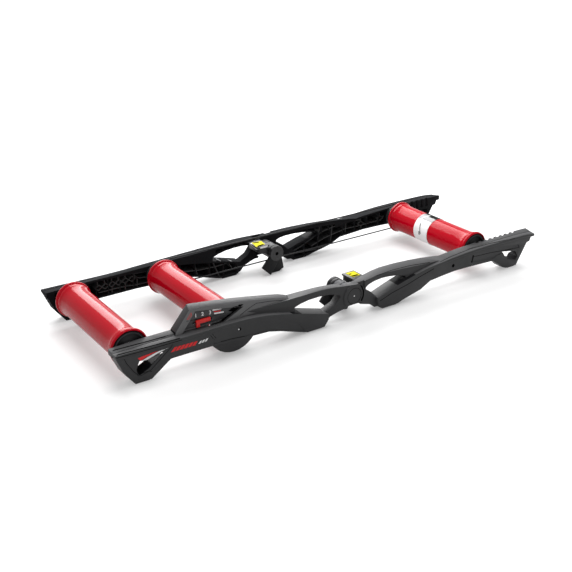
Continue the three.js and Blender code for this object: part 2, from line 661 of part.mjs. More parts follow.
// A cord of round section on a closed path in the frame's length
function beltLoop() {
  const radius = pulleyRadius + beltRadius + seatGap;
  const turn = (place, from) =>
    Array.from({ length: turnSteps + 1 }, (_, i) => {
      const angle = from + (Math.PI * i) / turnSteps;
      return [place + radius * Math.cos(angle), axleHeight + radius * Math.sin(angle), angle];
    });
  const run = (from, to, height, angle) =>
    Array.from({ length: runSteps - 1 }, (_, i) => [lerp(from, to, (i + 1) / runSteps), height, angle]);
  const path = [
    ...turn(frontAxlePlace, -Math.PI / 2),
    ...run(frontAxlePlace, middleAxlePlace, axleHeight + radius, Math.PI / 2),
    ...turn(middleAxlePlace, Math.PI / 2),
    ...run(middleAxlePlace, frontAxlePlace, axleHeight - radius, 1.5 * Math.PI),
  ];
  const sides = 8;
  const positions = path.flatMap(([x, z, angle]) =>
    Array.from({ length: sides }, (_, i) => {
      const around = (2 * Math.PI * i) / sides;
      const away = beltRadius * Math.cos(around);
      const y = beltPlane - drumOffset + beltRadius * Math.sin(around);
      return [x + away * Math.cos(angle), y, z + away * Math.sin(angle)];
    }).flat(),
  );
  const index = [];
  for (let s = 0; s < path.length; s++)
    for (let i = 0; i < sides; i++) {
      const a = s * sides + i;
      const b = s * sides + ((i + 1) % sides);
      const c = ((s + 1) % path.length) * sides + i;
      const d = ((s + 1) % path.length) * sides + ((i + 1) % sides);
      index.push(a, b, c, b, d, c);
    }
  const geometry = new THREE.BufferGeometry();
  geometry.setAttribute("position", new THREE.Float32BufferAttribute(positions, 3));
  geometry.setIndex(index);
  return geometry;
}

// Hinge pieces, made for the belt side and mirrored for the brake side
function hingeSpindle() {
  return bar(
    hingePlace, hingeHeight, spindleRadius, hubInside + 2 * seatGap, earFace - hingeDiscThickness - 2 * seatGap,
  );
}

function hingeBarrel() {
  const from = hubInside + 2 * hubThickness + 2 * seatGap;
  const to = armInside - seatGap;
  const body = bar(hingePlace, hingeHeight, barrelRadius, from, to, fine);
  const middle = (from + to) / 2;
  const ring = bar(
    hingePlace, hingeHeight, barrelRadius + overrun, middle - barrelGrooveWidth / 2,
    middle + barrelGrooveWidth / 2, fine,
  ).subtract(
    bar(hingePlace, hingeHeight, barrelRadius - barrelGrooveDepth, from, to, fine),
  );
  return body
    .subtract(ring)
    .subtract(bar(hingePlace, hingeHeight, spindleRadius + spindleClearance, 0, 2 * armInside));
}

function hingeDisc() {
  const from = earFace - hingeDiscThickness;
  return bar(hingePlace, hingeHeight, hingeDiscRadius, from, earFace, fine).subtract(
    bar(hingePlace, hingeHeight, pinholeRadius, from - overrun, earFace + overrun, 12),
  );
}

// A centre leg: a hub on the spindle and a paddle down to the floor
function centreLeg(shares, from, clearance) {
  const to = from + hubThickness;
  const outline = shares.map(([x, z]) => [hingePlace + x * legLength, hingeHeight + z * legLength]);
  return bar(hingePlace, hingeHeight, hubRadius, from, to, fine)
    .add(prism(outline, from, to))
    .subtract(bar(hingePlace, hingeHeight, spindleRadius + clearance, from - overrun, to + overrun));
}

// A guard plate beside the barrel, seated against its arm, with room for the other half's arm to swing past;
// direction is 1 on the front half and -1 on the rear
function guardPlate(direction, armShares, otherShares) {
  const [near, far] = [plateStart, plateStart + plateLength].map((x) => hingePlace + direction * x);
  const edge = innerFace - plateReach;
  const slab = (from, to, depth) =>
    block(Math.min(from, to), Math.max(from, to), edge, armInside, plateTop - depth, plateTop);
  const [bodyNear, bodyFar] = plateBodyShares.map((share) => lerp(near, far, share));
  const swing = Math.hypot(lapReach, plateRise);
  const clear = outward(curveAt(otherShares, (-direction * swing) / halfLength)[1]) - lapGap;
  const notch = hingePlace + direction * (lapReach + lapGap);
  const swept = block(
    Math.min(notch, hingePlace), Math.max(notch, hingePlace), clear, 2 * armInside, 0, 2 * railHeight,
  );
  return slab(near, far, plateThickness)
    .add(slab(bodyNear, bodyFar, plateDepth))
    .subtract(armSpace(armShares, -seatGap))
    .subtract(swept)
    .subtract(bar(hingePlace, hingeHeight, hubRadius + lapGap, 0, 2 * armInside, fine));
}

// Brake pieces
function brakeDisc() {
  const from = drumHalf + seatGap;
  const plane = brakeDiscPlane - drumOffset;
  const bore = axleRadius + axleClearance;
  return turned(
    [
      [bore, from], [brakeHubRadius, from], [brakeHubRadius, plane], [brakeDiscRadius, plane],
      [brakeDiscRadius, plane + brakeDiscThickness], [bore, plane + brakeDiscThickness],
    ],
    fine,
  );
}

// The space of the hood, drawn in by an inset, or grown by it where it is negative
function hoodSpace(inset) {
  const outline = side(hoodSideShares).map(([x, z], i) => [x + (i < 3 ? inset : -inset), z]);
  const sections = placesOf(hoodTopShares, 2).map((place) => {
    const [x, footInside, footOutside, topInside, topOutside] = curveAt(hoodTopShares, place);
    const low = (foot) => (inset > 0 ? 0 : foot * railHeight + inset);
    const ring = [
      [innerFace + inset, low(footInside)],
      [hoodFootFace - inset, low(footOutside)],
      [hoodFace - inset, topOutside * railHeight - inset],
      [innerFace + inset, topInside * railHeight - inset],
    ];
    return { x: x * halfLength, ring };
  });
  return prism(outline, 0, innerFace + 2 * railDepth).intersect(loft(sections));
}

// The slot that the slider's stem runs in
function stemSlot(from, to) {
  const half = stemWidth / 2 + sliderTravel + lapGap;
  const middle = sliderHeight + sliderDepth / 2;
  return block(
    sliderPlace - half, sliderPlace + half, from, to, middle - stemDepth / 2 - seatGap,
    middle + stemDepth / 2 + seatGap,
  );
}

function brakeHood() {
  const cavity = hoodSpace(hoodWall).intersect(
    block(-halfLength, 0, 0, recessFace - hoodWall, 0, 2 * railHeight),
  );
  const recess = prism(side(recessShares), recessFace, innerFace + 2 * railDepth);
  return hoodSpace(0).subtract(cavity).subtract(recess).subtract(stemSlot(0, hoodFace));
}

function settingPanel() {
  const [from, to] = [recessFace + seatGap, recessFace + seatGap + panelThickness];
  return prism(side(panelShares), from, to).subtract(stemSlot(0, hoodFace));
}

function settingSlider() {
  const from = recessFace + panelThickness + 2 * seatGap;
  const half = sliderLength / 2;
  const outline = [
    [sliderPlace - half, sliderHeight + sliderDepth], [sliderPlace + half, sliderHeight + sliderDepth],
    [sliderPlace + half, sliderHeight + sliderDepth / 3], [sliderPlace - half / 2, sliderHeight + sliderDepth / 3],
    [sliderPlace - half / 2, sliderHeight - sliderDepth / 4], [sliderPlace - half, sliderHeight - sliderDepth / 4],
  ];
  const middle = sliderHeight + sliderDepth / 2;
  const stem = block(
    sliderPlace - stemWidth / 2, sliderPlace + stemWidth / 2, carrierFace + seatGap, from + seatGap,
    middle - stemDepth / 2, middle + stemDepth / 2,
  );
  return prism(outline, from, from + sliderThickness).add(stem);
}

function magnetCarrier() {
  const middle = sliderHeight + sliderDepth / 2;
  const from = carrierFace - carrierThickness;
  return block(
    sliderPlace - stemWidth, sliderPlace - stemWidth + carrierLength, from, carrierFace,
    middle - carrierHeight / 2, middle + carrierHeight / 2,
  );
}

// A round magnet on the carrier's inner face
function magnet(place) {
  const to = carrierFace - carrierThickness - seatGap;
  return bar(
    sliderPlace + place * carrierLength, sliderHeight + sliderDepth / 2, magnetRadius, to - magnetThickness, to,
  );
}

// Colours, roughness and metalness of the finishes
const finish = (color, roughness, metalness = 0) =>
  new THREE.MeshStandardMaterial({ color, roughness, metalness });
const finishes = {
  frame: finish(0x2b2c2e, 0.55),
  drum: finish(0xb3061c, 0.18),
  cap: finish(0x17181a, 0.5),
  steel: finish(0xb9bcc0, 0.3, 1),
  barrel: finish(0xa9abae, 0.4),
  slider: finish(0xc4161c, 0.35),
  disc: finish(0xcfd2d5, 0.35, 1),
  rubber: finish(0x151515, 0.9),
  belt: finish(0x101113, 0.7),
  label: finish(0xf2f2f0, 0.4),
};

const rollers = new THREE.Group();
const rearFrame = new THREE.Group();
const frontFrame = new THREE.Group();
rollers.add(rearFrame, frontFrame);

function addPiece(group, name, shape, material, mirrored = false) {
  const geometry = shape.isBufferGeometry ? shape : geometryOf(shape);
  const mesh = new THREE.Mesh(geometry, material);
  mesh.name = name;
  if (mirrored) mesh.scale.y = -1;
  group.add(mesh);
  return mesh;
}

// Rails and their pads, each built at +Y and mirrored for the brake side
for (const [where, mirrored] of [["far", false], ["near", true]]) {
  addPiece(rearFrame, `rear_rail_${where}`, rearRail(mirrored), finishes.frame, mirrored);
  addPiece(frontFrame, `front_rail_${where}`, frontRail(), finishes.frame, mirrored);
  const [rearSoles, frontSoles] = [rearUndersideShares, frontUndersideShares].map(soleRows);
  const rearPads = { end: rearSoles.slice(0, 2), middle: rearSoles.slice(2) };
  const frontPads = { middle: frontSoles.slice(0, 2), end: frontSoles.slice(2) };
  for (const [at, rows] of Object.entries(rearPads))
    addPiece(
      rearFrame, `rear_${at}_pad_${where}`, pad(rearUndersideShares, rows, rearBeamShares), finishes.rubber,
      mirrored,
    );
  for (const [at, rows] of Object.entries(frontPads))
    addPiece(
      frontFrame, `front_${at}_pad_${where}`, pad(frontUndersideShares, rows, frontBeamShares),
      finishes.rubber, mirrored,
    );
}

// Drums, each a group at its axle
const drumPlaces = [
  ["rear", rearAxlePlace, rearFrame, axleSeat], ["middle", middleAxlePlace, rearFrame, axleSeat],
  ["front", frontAxlePlace, frontFrame, notchDepth],
];
for (const [name, place, frame, seat] of drumPlaces) {
  const drum = new THREE.Group();
  drum.position.set(place, -drumOffset, axleHeight);
  frame.add(drum);
  addPiece(drum, `${name}_drum`, drumShell(), finishes.drum);
  for (const [where, mirrored] of [["far", false], ["near", true]]) {
    addPiece(drum, `${name}_cap_${where}`, endCap(!mirrored && name !== "rear"), finishes.cap, mirrored);
    addPiece(drum, `${name}_bearing_${where}`, bearing(), finishes.steel, mirrored);
  }
  const axle = new THREE.CylinderGeometry(axleRadius, axleRadius, 2 * (innerFace + seat), coarse);
  addPiece(drum, `${name}_axle`, axle.translate(0, drumOffset, 0), finishes.steel);
  addPiece(drum, `${name}_axle_spacer`, axleSpacer(), finishes.steel);
  if (name === "middle") addPiece(drum, "brake_disc", brakeDisc(), finishes.disc, true);
  if (name === "front") addPiece(drum, "front_drum_band", drumBand(), finishes.label);
}

// Brake, on the mirrored side
addPiece(rearFrame, "brake_hood", brakeHood(), finishes.frame, true);
addPiece(rearFrame, "setting_panel", settingPanel(), finishes.cap, true);
addPiece(rearFrame, "setting_slider", settingSlider(), finishes.slider, true);
addPiece(rearFrame, "magnet_carrier", magnetCarrier(), finishes.steel, true);
for (const [k, place] of magnetPlaceShares.entries())
  addPiece(rearFrame, `magnet_${k + 1}`, magnet(place), finishes.steel, true);

// Hinges
for (const [where, mirrored] of [["far", false], ["near", true]]) {
  addPiece(rearFrame, `hinge_spindle_${where}`, hingeSpindle(), finishes.steel, mirrored);
  addPiece(rearFrame, `hinge_disc_${where}`, hingeDisc(), finishes.cap, mirrored);
  addPiece(
    rearFrame, `rear_leg_${where}`, centreLeg(rearLegShares, hubInside, seatGap), finishes.cap, mirrored,
  );
  addPiece(
    frontFrame, `front_leg_${where}`,
    centreLeg(frontLegShares, hubInside + hubThickness + seatGap, spindleClearance), finishes.cap, mirrored,
  );
  addPiece(frontFrame, `hinge_barrel_${where}`, hingeBarrel(), finishes.barrel, mirrored);
}
addPiece(
  rearFrame, "guard_plate_far", guardPlate(-1, rearArmBeamShares, frontArmBeamShares), finishes.cap,
);
addPiece(
  frontFrame, "guard_plate_near", guardPlate(1, frontArmBeamShares, rearArmBeamShares), finishes.cap, true,
);

addPiece(rearFrame, "drive_belt", beltLoop(), finishes.belt);

export default rollers;
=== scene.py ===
import json
import math

import bmesh
import bpy
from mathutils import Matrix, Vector
from mathutils.bvhtree import BVHTree
from mathutils.geometry import tessellate_polygon


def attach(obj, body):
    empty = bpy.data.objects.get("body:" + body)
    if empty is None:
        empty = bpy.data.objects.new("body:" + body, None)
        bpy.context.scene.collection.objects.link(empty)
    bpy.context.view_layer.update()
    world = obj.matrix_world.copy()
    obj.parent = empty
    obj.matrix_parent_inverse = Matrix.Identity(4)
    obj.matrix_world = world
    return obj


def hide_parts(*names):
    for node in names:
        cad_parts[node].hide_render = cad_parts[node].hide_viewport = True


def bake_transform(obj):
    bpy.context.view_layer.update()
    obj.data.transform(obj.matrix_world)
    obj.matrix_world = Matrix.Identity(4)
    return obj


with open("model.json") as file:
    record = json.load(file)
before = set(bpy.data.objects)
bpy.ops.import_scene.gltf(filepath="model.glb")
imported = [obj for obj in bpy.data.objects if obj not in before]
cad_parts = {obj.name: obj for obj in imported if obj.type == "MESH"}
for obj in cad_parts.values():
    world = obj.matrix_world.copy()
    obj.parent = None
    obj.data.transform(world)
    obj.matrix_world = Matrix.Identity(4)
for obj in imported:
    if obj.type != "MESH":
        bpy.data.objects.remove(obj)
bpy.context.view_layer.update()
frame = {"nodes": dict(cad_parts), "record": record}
bodyOfNode = {node: body for body, nodes in frame["record"]["behaviour"]["bodies"].items() for node in nodes}
mm = 0.001
sides = {"near": -1, "far": 1}  # which way is outward along y


def placed(name, data):
    # A new object in the scene
    made = bpy.data.objects.new(name, data)
    bpy.context.scene.collection.objects.link(made)
    return made


# camera: where it stands and how it is turned come from the photograph's parallel edges
camera = {
    "eye": (-1.4680, -2.0342, 1.1221), "turn": -34.590, "drop": 23.925, "lens": 59.52, "sensor": 36,
    "picture": 572,  # the photograph's width and height in points
}
cameraData = bpy.data.cameras.new("photoCamera")
cameraData.lens = camera["lens"]
cameraData.sensor_width = camera["sensor"]
cameraObject = placed("photoCamera", cameraData)
cameraObject.location = camera["eye"]
cameraObject.rotation_euler = (math.radians(90 - camera["drop"]), 0, math.radians(camera["turn"]))
bpy.context.scene.camera = cameraObject
bpy.context.scene.view_settings.view_transform = "Standard"
print("camera ready")

# patterns in the materials: scale and detail of each noise, the strength and depth in metres of the bump
pattern = {
    "range": (0.3, 0.7),  # the part of a noise that is spread over a ramp
    "plastic": {"clouds": (9, 3), "grainDetail": 2, "wander": 0.05, "depth": 0.0001},
    "film": {"grainSize": 900, "strength": 0.05},
    "paint": {"clouds": (5, 2), "ripple": (140, 2), "strength": 0.01, "depth": 0.0001},
    "metal": {
        "lines": (900, 2), "stretch": (1, 0.05, 1), "smoother": 0.08, "rougher": 0.1, "strength": 0.15,
        "depth": 0.00005,
    },
}


def startMaterial(name, colour, roughness, metallic=0.0):
    material = bpy.data.materials.new(name)
    material.use_nodes = True
    tree = material.node_tree
    shader = tree.nodes["Principled BSDF"]
    shader.inputs["Base Color"].default_value = (*colour, 1)
    shader.inputs["Roughness"].default_value = roughness
    shader.inputs["Metallic"].default_value = metallic
    material.diffuse_color = (*colour, 1)
    return material, tree, shader


def noiseOn(tree, scale, detail, stretch=(1, 1, 1)):
    place = tree.nodes.new("ShaderNodeTexCoord")
    mapping = tree.nodes.new("ShaderNodeMapping")
    mapping.inputs["Scale"].default_value = stretch
    noise = tree.nodes.new("ShaderNodeTexNoise")
    noise.inputs["Scale"].default_value = scale
    noise.inputs["Detail"].default_value = detail
    tree.links.new(place.outputs["Object"], mapping.inputs["Vector"])
    tree.links.new(mapping.outputs["Vector"], noise.inputs["Vector"])
    return noise.outputs["Fac"]


def spread(tree, value, low, high):
    ramp = tree.nodes.new("ShaderNodeMapRange")
    for socketName, limit in zip(("From Min", "From Max", "To Min", "To Max"), (*pattern["range"], low, high)):
        ramp.inputs[socketName].default_value = limit
    tree.links.new(value, ramp.inputs["Value"])
    return ramp.outputs["Result"]


def tint(tree, shader, value, dark, light):
    mix = tree.nodes.new("ShaderNodeMix")
    mix.data_type = "RGBA"
    mix.inputs["A"].default_value = (*dark, 1)
    mix.inputs["B"].default_value = (*light, 1)
    tree.links.new(value, mix.inputs["Factor"])
    tree.links.new(mix.outputs["Result"], shader.inputs["Base Color"])


def grain(tree, shader, value, strength, depth):
    bump = tree.nodes.new("ShaderNodeBump")
    bump.inputs["Strength"].default_value = strength
    bump.inputs["Distance"].default_value = depth
    tree.links.new(value, bump.inputs["Height"])
    tree.links.new(bump.outputs["Normal"], shader.inputs["Normal"])


def mouldedPlastic(name, dark, light, roughness, specular, grainSize=2600, strength=0.25):
    look = pattern["plastic"]
    material, tree, shader = startMaterial(name, light, roughness)
    shader.inputs["Specular IOR Level"].default_value = specular
    tint(tree, shader, spread(tree, noiseOn(tree, *look["clouds"]), 0, 1), dark, light)
    fine = noiseOn(tree, grainSize, look["grainDetail"])
    wandering = spread(tree, fine, roughness - look["wander"], roughness + look["wander"])
    tree.links.new(wandering, shader.inputs["Roughness"])
    grain(tree, shader, fine, strength, look["depth"])
    return material


def printedFilm(name, dark, light, roughness, specular):
    return mouldedPlastic(name, dark, light, roughness, specular, **pattern["film"])


def glossPaint(name, dark, light, roughness, specular):
    look = pattern["paint"]
    material, tree, shader = startMaterial(name, light, roughness)
    shader.inputs["Specular IOR Level"].default_value = specular
    tint(tree, shader, spread(tree, noiseOn(tree, *look["clouds"]), 0, 1), dark, light)
    grain(tree, shader, noiseOn(tree, *look["ripple"]), look["strength"], look["depth"])
    return material


def turnedMetal(name, colour, roughness):
    look = pattern["metal"]
    material, tree, shader = startMaterial(name, colour, roughness, 1.0)
    lines = noiseOn(tree, *look["lines"], look["stretch"])
    wandering = spread(tree, lines, roughness - look["smoother"], roughness + look["rougher"])
    tree.links.new(wandering, shader.inputs["Roughness"])
    grain(tree, shader, lines, look["strength"], look["depth"])
    return material


# finishes: what makes it, its material's name, the record's slot, darkest and lightest colour, roughness,
# specular level, and where it isn't the usual one the grain's scale and strength
finishRows = {
    "rail": (mouldedPlastic, "railPlastic", "frame_plastic", (0.040, 0.0402, 0.0415), (0.048, 0.0482, 0.0495),
             0.44, 0.12),
    # a darker copy of the rail plastic for the far rails: painted shade
    "railFar": (mouldedPlastic, "railFar", "frame_plastic", (0.017, 0.0175, 0.019), (0.023, 0.0235, 0.025),
                0.8, 0.02),
    # a paler copy of the rail plastic for the near rails' tops: painted sheen
    "railTop": (mouldedPlastic, "railTop", "frame_plastic", (0.068, 0.068, 0.070), (0.080, 0.080, 0.082), 0.5, 0.08),
    # a near-black copy of the rail plastic for the rails' inner sides, two hollows' walls and the hood's rear end:
    # painted shade
    "railInside": (mouldedPlastic, "railInside", "frame_plastic", (0.007, 0.007, 0.008), (0.010, 0.010, 0.011),
                   0.5, 0.03),
    "ear": (mouldedPlastic, "earPlastic", "frame_plastic", (0.120, 0.120, 0.122), (0.136, 0.136, 0.138), 0.4, 0.15),
    "rib": (mouldedPlastic, "ribEdges", "frame_plastic", (0.030, 0.030, 0.031), (0.042, 0.042, 0.043), 0.4, 0.25),
    "hub": (mouldedPlastic, "hubPlastic", "black_plastic", (0.030, 0.030, 0.031), (0.040, 0.040, 0.041), 0.4, 0.2),
    "cap": (mouldedPlastic, "capPlastic", "black_plastic", (0.010, 0.010, 0.011), (0.014, 0.014, 0.015), 0.42, 0.25),
    "leg": (mouldedPlastic, "legPlastic", "black_plastic", (0.006, 0.006, 0.007), (0.009, 0.009, 0.010), 0.4, 0.12),
    "panel": (mouldedPlastic, "panelFilm", "black_plastic", (0.030, 0.030, 0.032), (0.036, 0.036, 0.038), 0.4, 0.3),
    "barrel": (mouldedPlastic, "barrelGrey", "barrel_grey", (0.075, 0.075, 0.08), (0.09, 0.09, 0.095), 0.5, 0.1,
               2600, 0.1),
    "slider": (mouldedPlastic, "sliderRed", "slider_red", (0.60, 0.012, 0.012), (0.66, 0.016, 0.015), 0.35, 0.3),
    "pad": (mouldedPlastic, "padRubber", "pad_rubber", (0.010, 0.010, 0.010), (0.014, 0.014, 0.014), 0.85, 0.3,
            1500, 0.4),
    "belt": (mouldedPlastic, "beltRubber", "belt_rubber", (0.012, 0.012, 0.013), (0.018, 0.018, 0.019), 0.7, 0.3,
             1800, 0.4),
    "red": (printedFilm, "redFilm", "slider_red", (0.62, 0.010, 0.012), (0.70, 0.014, 0.016), 0.35, 0.3),
    "grey": (printedFilm, "greyFilm", "band_white", (0.24, 0.24, 0.245), (0.30, 0.30, 0.305), 0.35, 0.3),
    "white": (printedFilm, "whiteFilm", "band_white", (0.78, 0.78, 0.78), (0.82, 0.82, 0.82), 0.45, 0.15),
    "yellow": (printedFilm, "yellowFilm", "band_white", (0.56, 0.50, 0.006), (0.62, 0.55, 0.008), 0.6, 0.04),
    "ink": (printedFilm, "blackInk", "black_plastic", (0.004, 0.004, 0.004), (0.007, 0.007, 0.007), 0.6, 0.04),
    # near-black without gloss: painted shade in grooves, creases, holes and gaps between parts, and also the black
    # print on the yellow plates
    "gap": (printedFilm, "darkGap", "black_plastic", (0.0008, 0.0008, 0.0008), (0.0014, 0.0014, 0.0014), 0.9, 0.0),
    "drum": (glossPaint, "drumRed", "drum_red", (0.38, 0.0005, 0.008), (0.42, 0.001, 0.010), 0.14, 0.1),
    "steel": (turnedMetal, "drawnSteel", "steel", (0.62, 0.63, 0.65), 0.32),
    "disc": (turnedMetal, "discAluminium", "disc_aluminium", (0.76, 0.77, 0.78), 0.34),
}
finishes, slotOfFinish = {}, {}
for finish, (makeMaterial, materialName, slotName, *look) in finishRows.items():
    finishes[finish] = makeMaterial(materialName, *look)
    slotOfFinish[finish] = slotName
print("materials ready")

# steps that all pieces share: distances in metres, angles in degrees
shaping = {
    "cadWeld": 0.00002, "lathedWeld": 0.000001, "drumWeld": 0.00001, "flat": 0.6, "bevelSegments": 2, "bevelFrom": 25,
    "roundedSharp": 32, "lathedSharp": 35, "drumSharp": 40,
}


def settle(piece, finish, body):
    # Material and body of a finished piece
    piece.data.materials.clear()
    piece.data.materials.append(finishes[finish])
    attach(piece, body)
    return piece


def baked(piece, name):
    # The evaluated mesh of a piece as a plain object of the same name
    bpy.context.view_layer.update()
    graph = bpy.context.evaluated_depsgraph_get()
    mesh = bpy.data.meshes.new_from_object(piece.evaluated_get(graph))
    mesh.name = name
    bpy.data.objects.remove(piece)
    return placed(name, mesh)


def meshOf(name, points, faces):
    mesh = bpy.data.meshes.new(name)
    mesh.from_pydata(points, [], faces)
    return mesh


def pointOutwards(mesh, weld=None):
    # Faces turned outwards, after doubles are merged where that is asked
    work = bmesh.new()
    work.from_mesh(mesh)
    if weld:
        bmesh.ops.remove_doubles(work, verts=work.verts, dist=weld)
    bmesh.ops.recalc_face_normals(work, faces=work.faces)
    work.to_mesh(mesh)
    work.free()


def shadeSmooth(mesh, sharpFrom=None):
    for face in mesh.polygons:
        face.use_smooth = True
    if sharpFrom:
        mesh.set_sharp_from_angle(angle=math.radians(sharpFrom))


def rounded(node, name, finish, width):
    # A CAD node's shape with its edges rounded, in place of the node
    work = bmesh.new()
    work.from_mesh(frame["nodes"][node].data)
    bmesh.ops.remove_doubles(work, verts=work.verts, dist=shaping["cadWeld"])
    bmesh.ops.dissolve_limit(
        work, angle_limit=math.radians(shaping["flat"]), verts=work.verts, edges=work.edges, delimit={"NORMAL"}
    )
    mesh = bpy.data.meshes.new(name)
    work.to_mesh(mesh)
    work.free()
    piece = placed(name, mesh)
    bevel = piece.modifiers.new("edges", "BEVEL")
    bevel.width = width
    bevel.segments = shaping["bevelSegments"]
    bevel.limit_method = "ANGLE"
    bevel.angle_limit = math.radians(shaping["bevelFrom"])
    bevel.use_clamp_overlap = True
    piece = baked(piece, name)
    shadeSmooth(piece.data, shaping["roundedSharp"])
    settle(piece, finish, bodyOfNode[node])
    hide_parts(node)
    return piece


def lathe(name, section, place, steps, finish, body, outward=1, node=None, centre=0):
    # A section of (radius, y) in mm, turned about an axle through place; outward is 1 for the far side
    count = len(section)
    points, faces = [], []
    for step in range(steps):
        angle = 2 * math.pi * step / steps
        points += [
            ((place[0] + radius * math.cos(angle)) * mm, (centre + outward * y) * mm,
             (place[1] + radius * math.sin(angle)) * mm)
            for radius, y in section
        ]
        here, there = step * count, (step + 1) % steps * count
        for k in range(count):
            after = (k + 1) % count
            faces.append((here + k, here + after, there + after, there + k))
    mesh = meshOf(name, points, faces)
    pointOutwards(mesh, shaping["lathedWeld"])
    shadeSmooth(mesh, shaping["lathedSharp"])
    piece = settle(placed(name, mesh), finish, body)
    if node:
        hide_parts(node)


# drums: a grid rolled up by a rule for its radius
drum = {
    "height": 77, "centre": -14, "half": 171.5, "centreRadius": 43, "rimRadius": 49.6, "wall": 3.2,
    "around": 128, "along": 260,  # faces of the grid
    "places": {"rear": -642, "middle": -375, "front": 492},
    # share of half the length, share of the way from the centre radius to the rim
    "curve": [
        (0, 0), (0.68, 0.0), (0.78, 0.06), (0.86, 0.26), (0.905, 0.46), (0.92, 0.44), (0.93, 0.4),
        (0.938, 0.62), (0.948, 0.88), (0.962, 1.0), (0.976, 0.96), (0.99, 0.78), (1, 0.5),
    ],
    "crease": (0.925, 0.935),  # the one corner in the curve lies between these
}


def mathNode(tree, operation, first, second=None):
    node = tree.nodes.new("ShaderNodeMath")
    node.operation = operation
    for socket, value in zip(node.inputs, (first, second)):
        if value is None:
            continue
        if isinstance(value, (int, float)):
            socket.default_value = value
        else:
            tree.links.new(value, socket)
    return node.outputs[0]


def fillCurve(curve):
    # The drum's section as the points of a curve node
    line = curve.mapping.curves[0]
    first, *between, last = drum["curve"]
    line.points[0].location = first
    line.points[1].location = last
    for point in between:
        line.points.new(*point)
    low, high = drum["crease"]
    for point in line.points:
        point.handle_type = "VECTOR" if low < point.location[0] < high else "AUTO_CLAMPED"
    curve.mapping.update()


def makeDrumTree():
    tree = bpy.data.node_groups.new("drumShell", "GeometryNodeTree")
    sockets = tree.interface
    sockets.new_socket("Geometry", in_out="OUTPUT", socket_type="NodeSocketGeometry")
    for name in ("Place", "Centre", "Height", "Half Length", "Centre Radius", "Rim Radius"):
        sockets.new_socket(name, in_out="INPUT", socket_type="NodeSocketFloat")
    sockets.new_socket("Finish", in_out="INPUT", socket_type="NodeSocketMaterial")
    given = tree.nodes.new("NodeGroupInput").outputs
    # x of the grid runs once round the drum, and y from one end to the other
    grid = tree.nodes.new("GeometryNodeMeshGrid")
    grid.inputs["Size X"].default_value = 1
    grid.inputs["Size Y"].default_value = 2
    grid.inputs["Vertices X"].default_value = drum["around"] + 1
    grid.inputs["Vertices Y"].default_value = drum["along"] + 1
    position = tree.nodes.new("GeometryNodeInputPosition")
    split = tree.nodes.new("ShaderNodeSeparateXYZ")
    tree.links.new(position.outputs[0], split.inputs[0])
    angle = mathNode(tree, "MULTIPLY", split.outputs["X"], -2 * math.pi)
    along = split.outputs["Y"]
    curve = tree.nodes.new("ShaderNodeFloatCurve")
    fillCurve(curve)
    tree.links.new(mathNode(tree, "ABSOLUTE", along), curve.inputs["Value"])
    rise = mathNode(tree, "SUBTRACT", given["Rim Radius"], given["Centre Radius"])
    swell = mathNode(tree, "MULTIPLY", rise, curve.outputs["Value"])
    radius = mathNode(tree, "ADD", given["Centre Radius"], swell)
    joined = tree.nodes.new("ShaderNodeCombineXYZ")
    for axis, middle, reach in (
        ("X", "Place", mathNode(tree, "MULTIPLY", radius, mathNode(tree, "COSINE", angle))),
        ("Y", "Centre", mathNode(tree, "MULTIPLY", along, given["Half Length"])),
        ("Z", "Height", mathNode(tree, "MULTIPLY", radius, mathNode(tree, "SINE", angle))),
    ):
        tree.links.new(mathNode(tree, "ADD", given[middle], reach), joined.inputs[axis])
    roll = tree.nodes.new("GeometryNodeSetPosition")
    tree.links.new(grid.outputs["Mesh"], roll.inputs["Geometry"])
    tree.links.new(joined.outputs[0], roll.inputs["Position"])
    weld = tree.nodes.new("GeometryNodeMergeByDistance")
    weld.inputs["Distance"].default_value = shaping["drumWeld"]
    realize = tree.nodes.new("GeometryNodeRealizeInstances")
    paint = tree.nodes.new("GeometryNodeSetMaterial")
    out = tree.nodes.new("NodeGroupOutput")
    tree.links.new(roll.outputs[0], weld.inputs[0])
    tree.links.new(weld.outputs[0], realize.inputs[0])
    tree.links.new(realize.outputs[0], paint.inputs["Geometry"])
    tree.links.new(given["Finish"], paint.inputs["Material"])
    tree.links.new(paint.outputs[0], out.inputs[0])
    return tree


def setInputs(modifier, values):
    # A Geometry Nodes modifier's inputs, set by their socket identifiers
    for item in modifier.node_group.interface.items_tree:
        if item.item_type == "SOCKET" and item.in_out == "INPUT" and item.name in values:
            modifier[item.identifier] = values[item.name]


def makeDrum(name, tree):
    piece = placed(name, bpy.data.meshes.new(name))
    shell = piece.modifiers.new("shell", "NODES")
    shell.node_group = tree
    setInputs(shell, {
        "Place": drum["places"][name] * mm, "Centre": drum["centre"] * mm, "Height": drum["height"] * mm,
        "Half Length": drum["half"] * mm, "Centre Radius": drum["centreRadius"] * mm,
        "Rim Radius": drum["rimRadius"] * mm, "Finish": finishes["drum"],
    })
    wall = piece.modifiers.new("wall", "SOLIDIFY")
    wall.thickness = drum["wall"] * mm
    wall.offset = -1
    piece = baked(piece, f"{name}DrumShell")
    shadeSmooth(piece.data, shaping["drumSharp"])
    settle(piece, "drum", f"{name}_drum")
    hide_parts(f"{name}_drum")


drumTree = makeDrumTree()
for drumName in drum["places"]:
    makeDrum(drumName, drumTree)
print("drums ready")

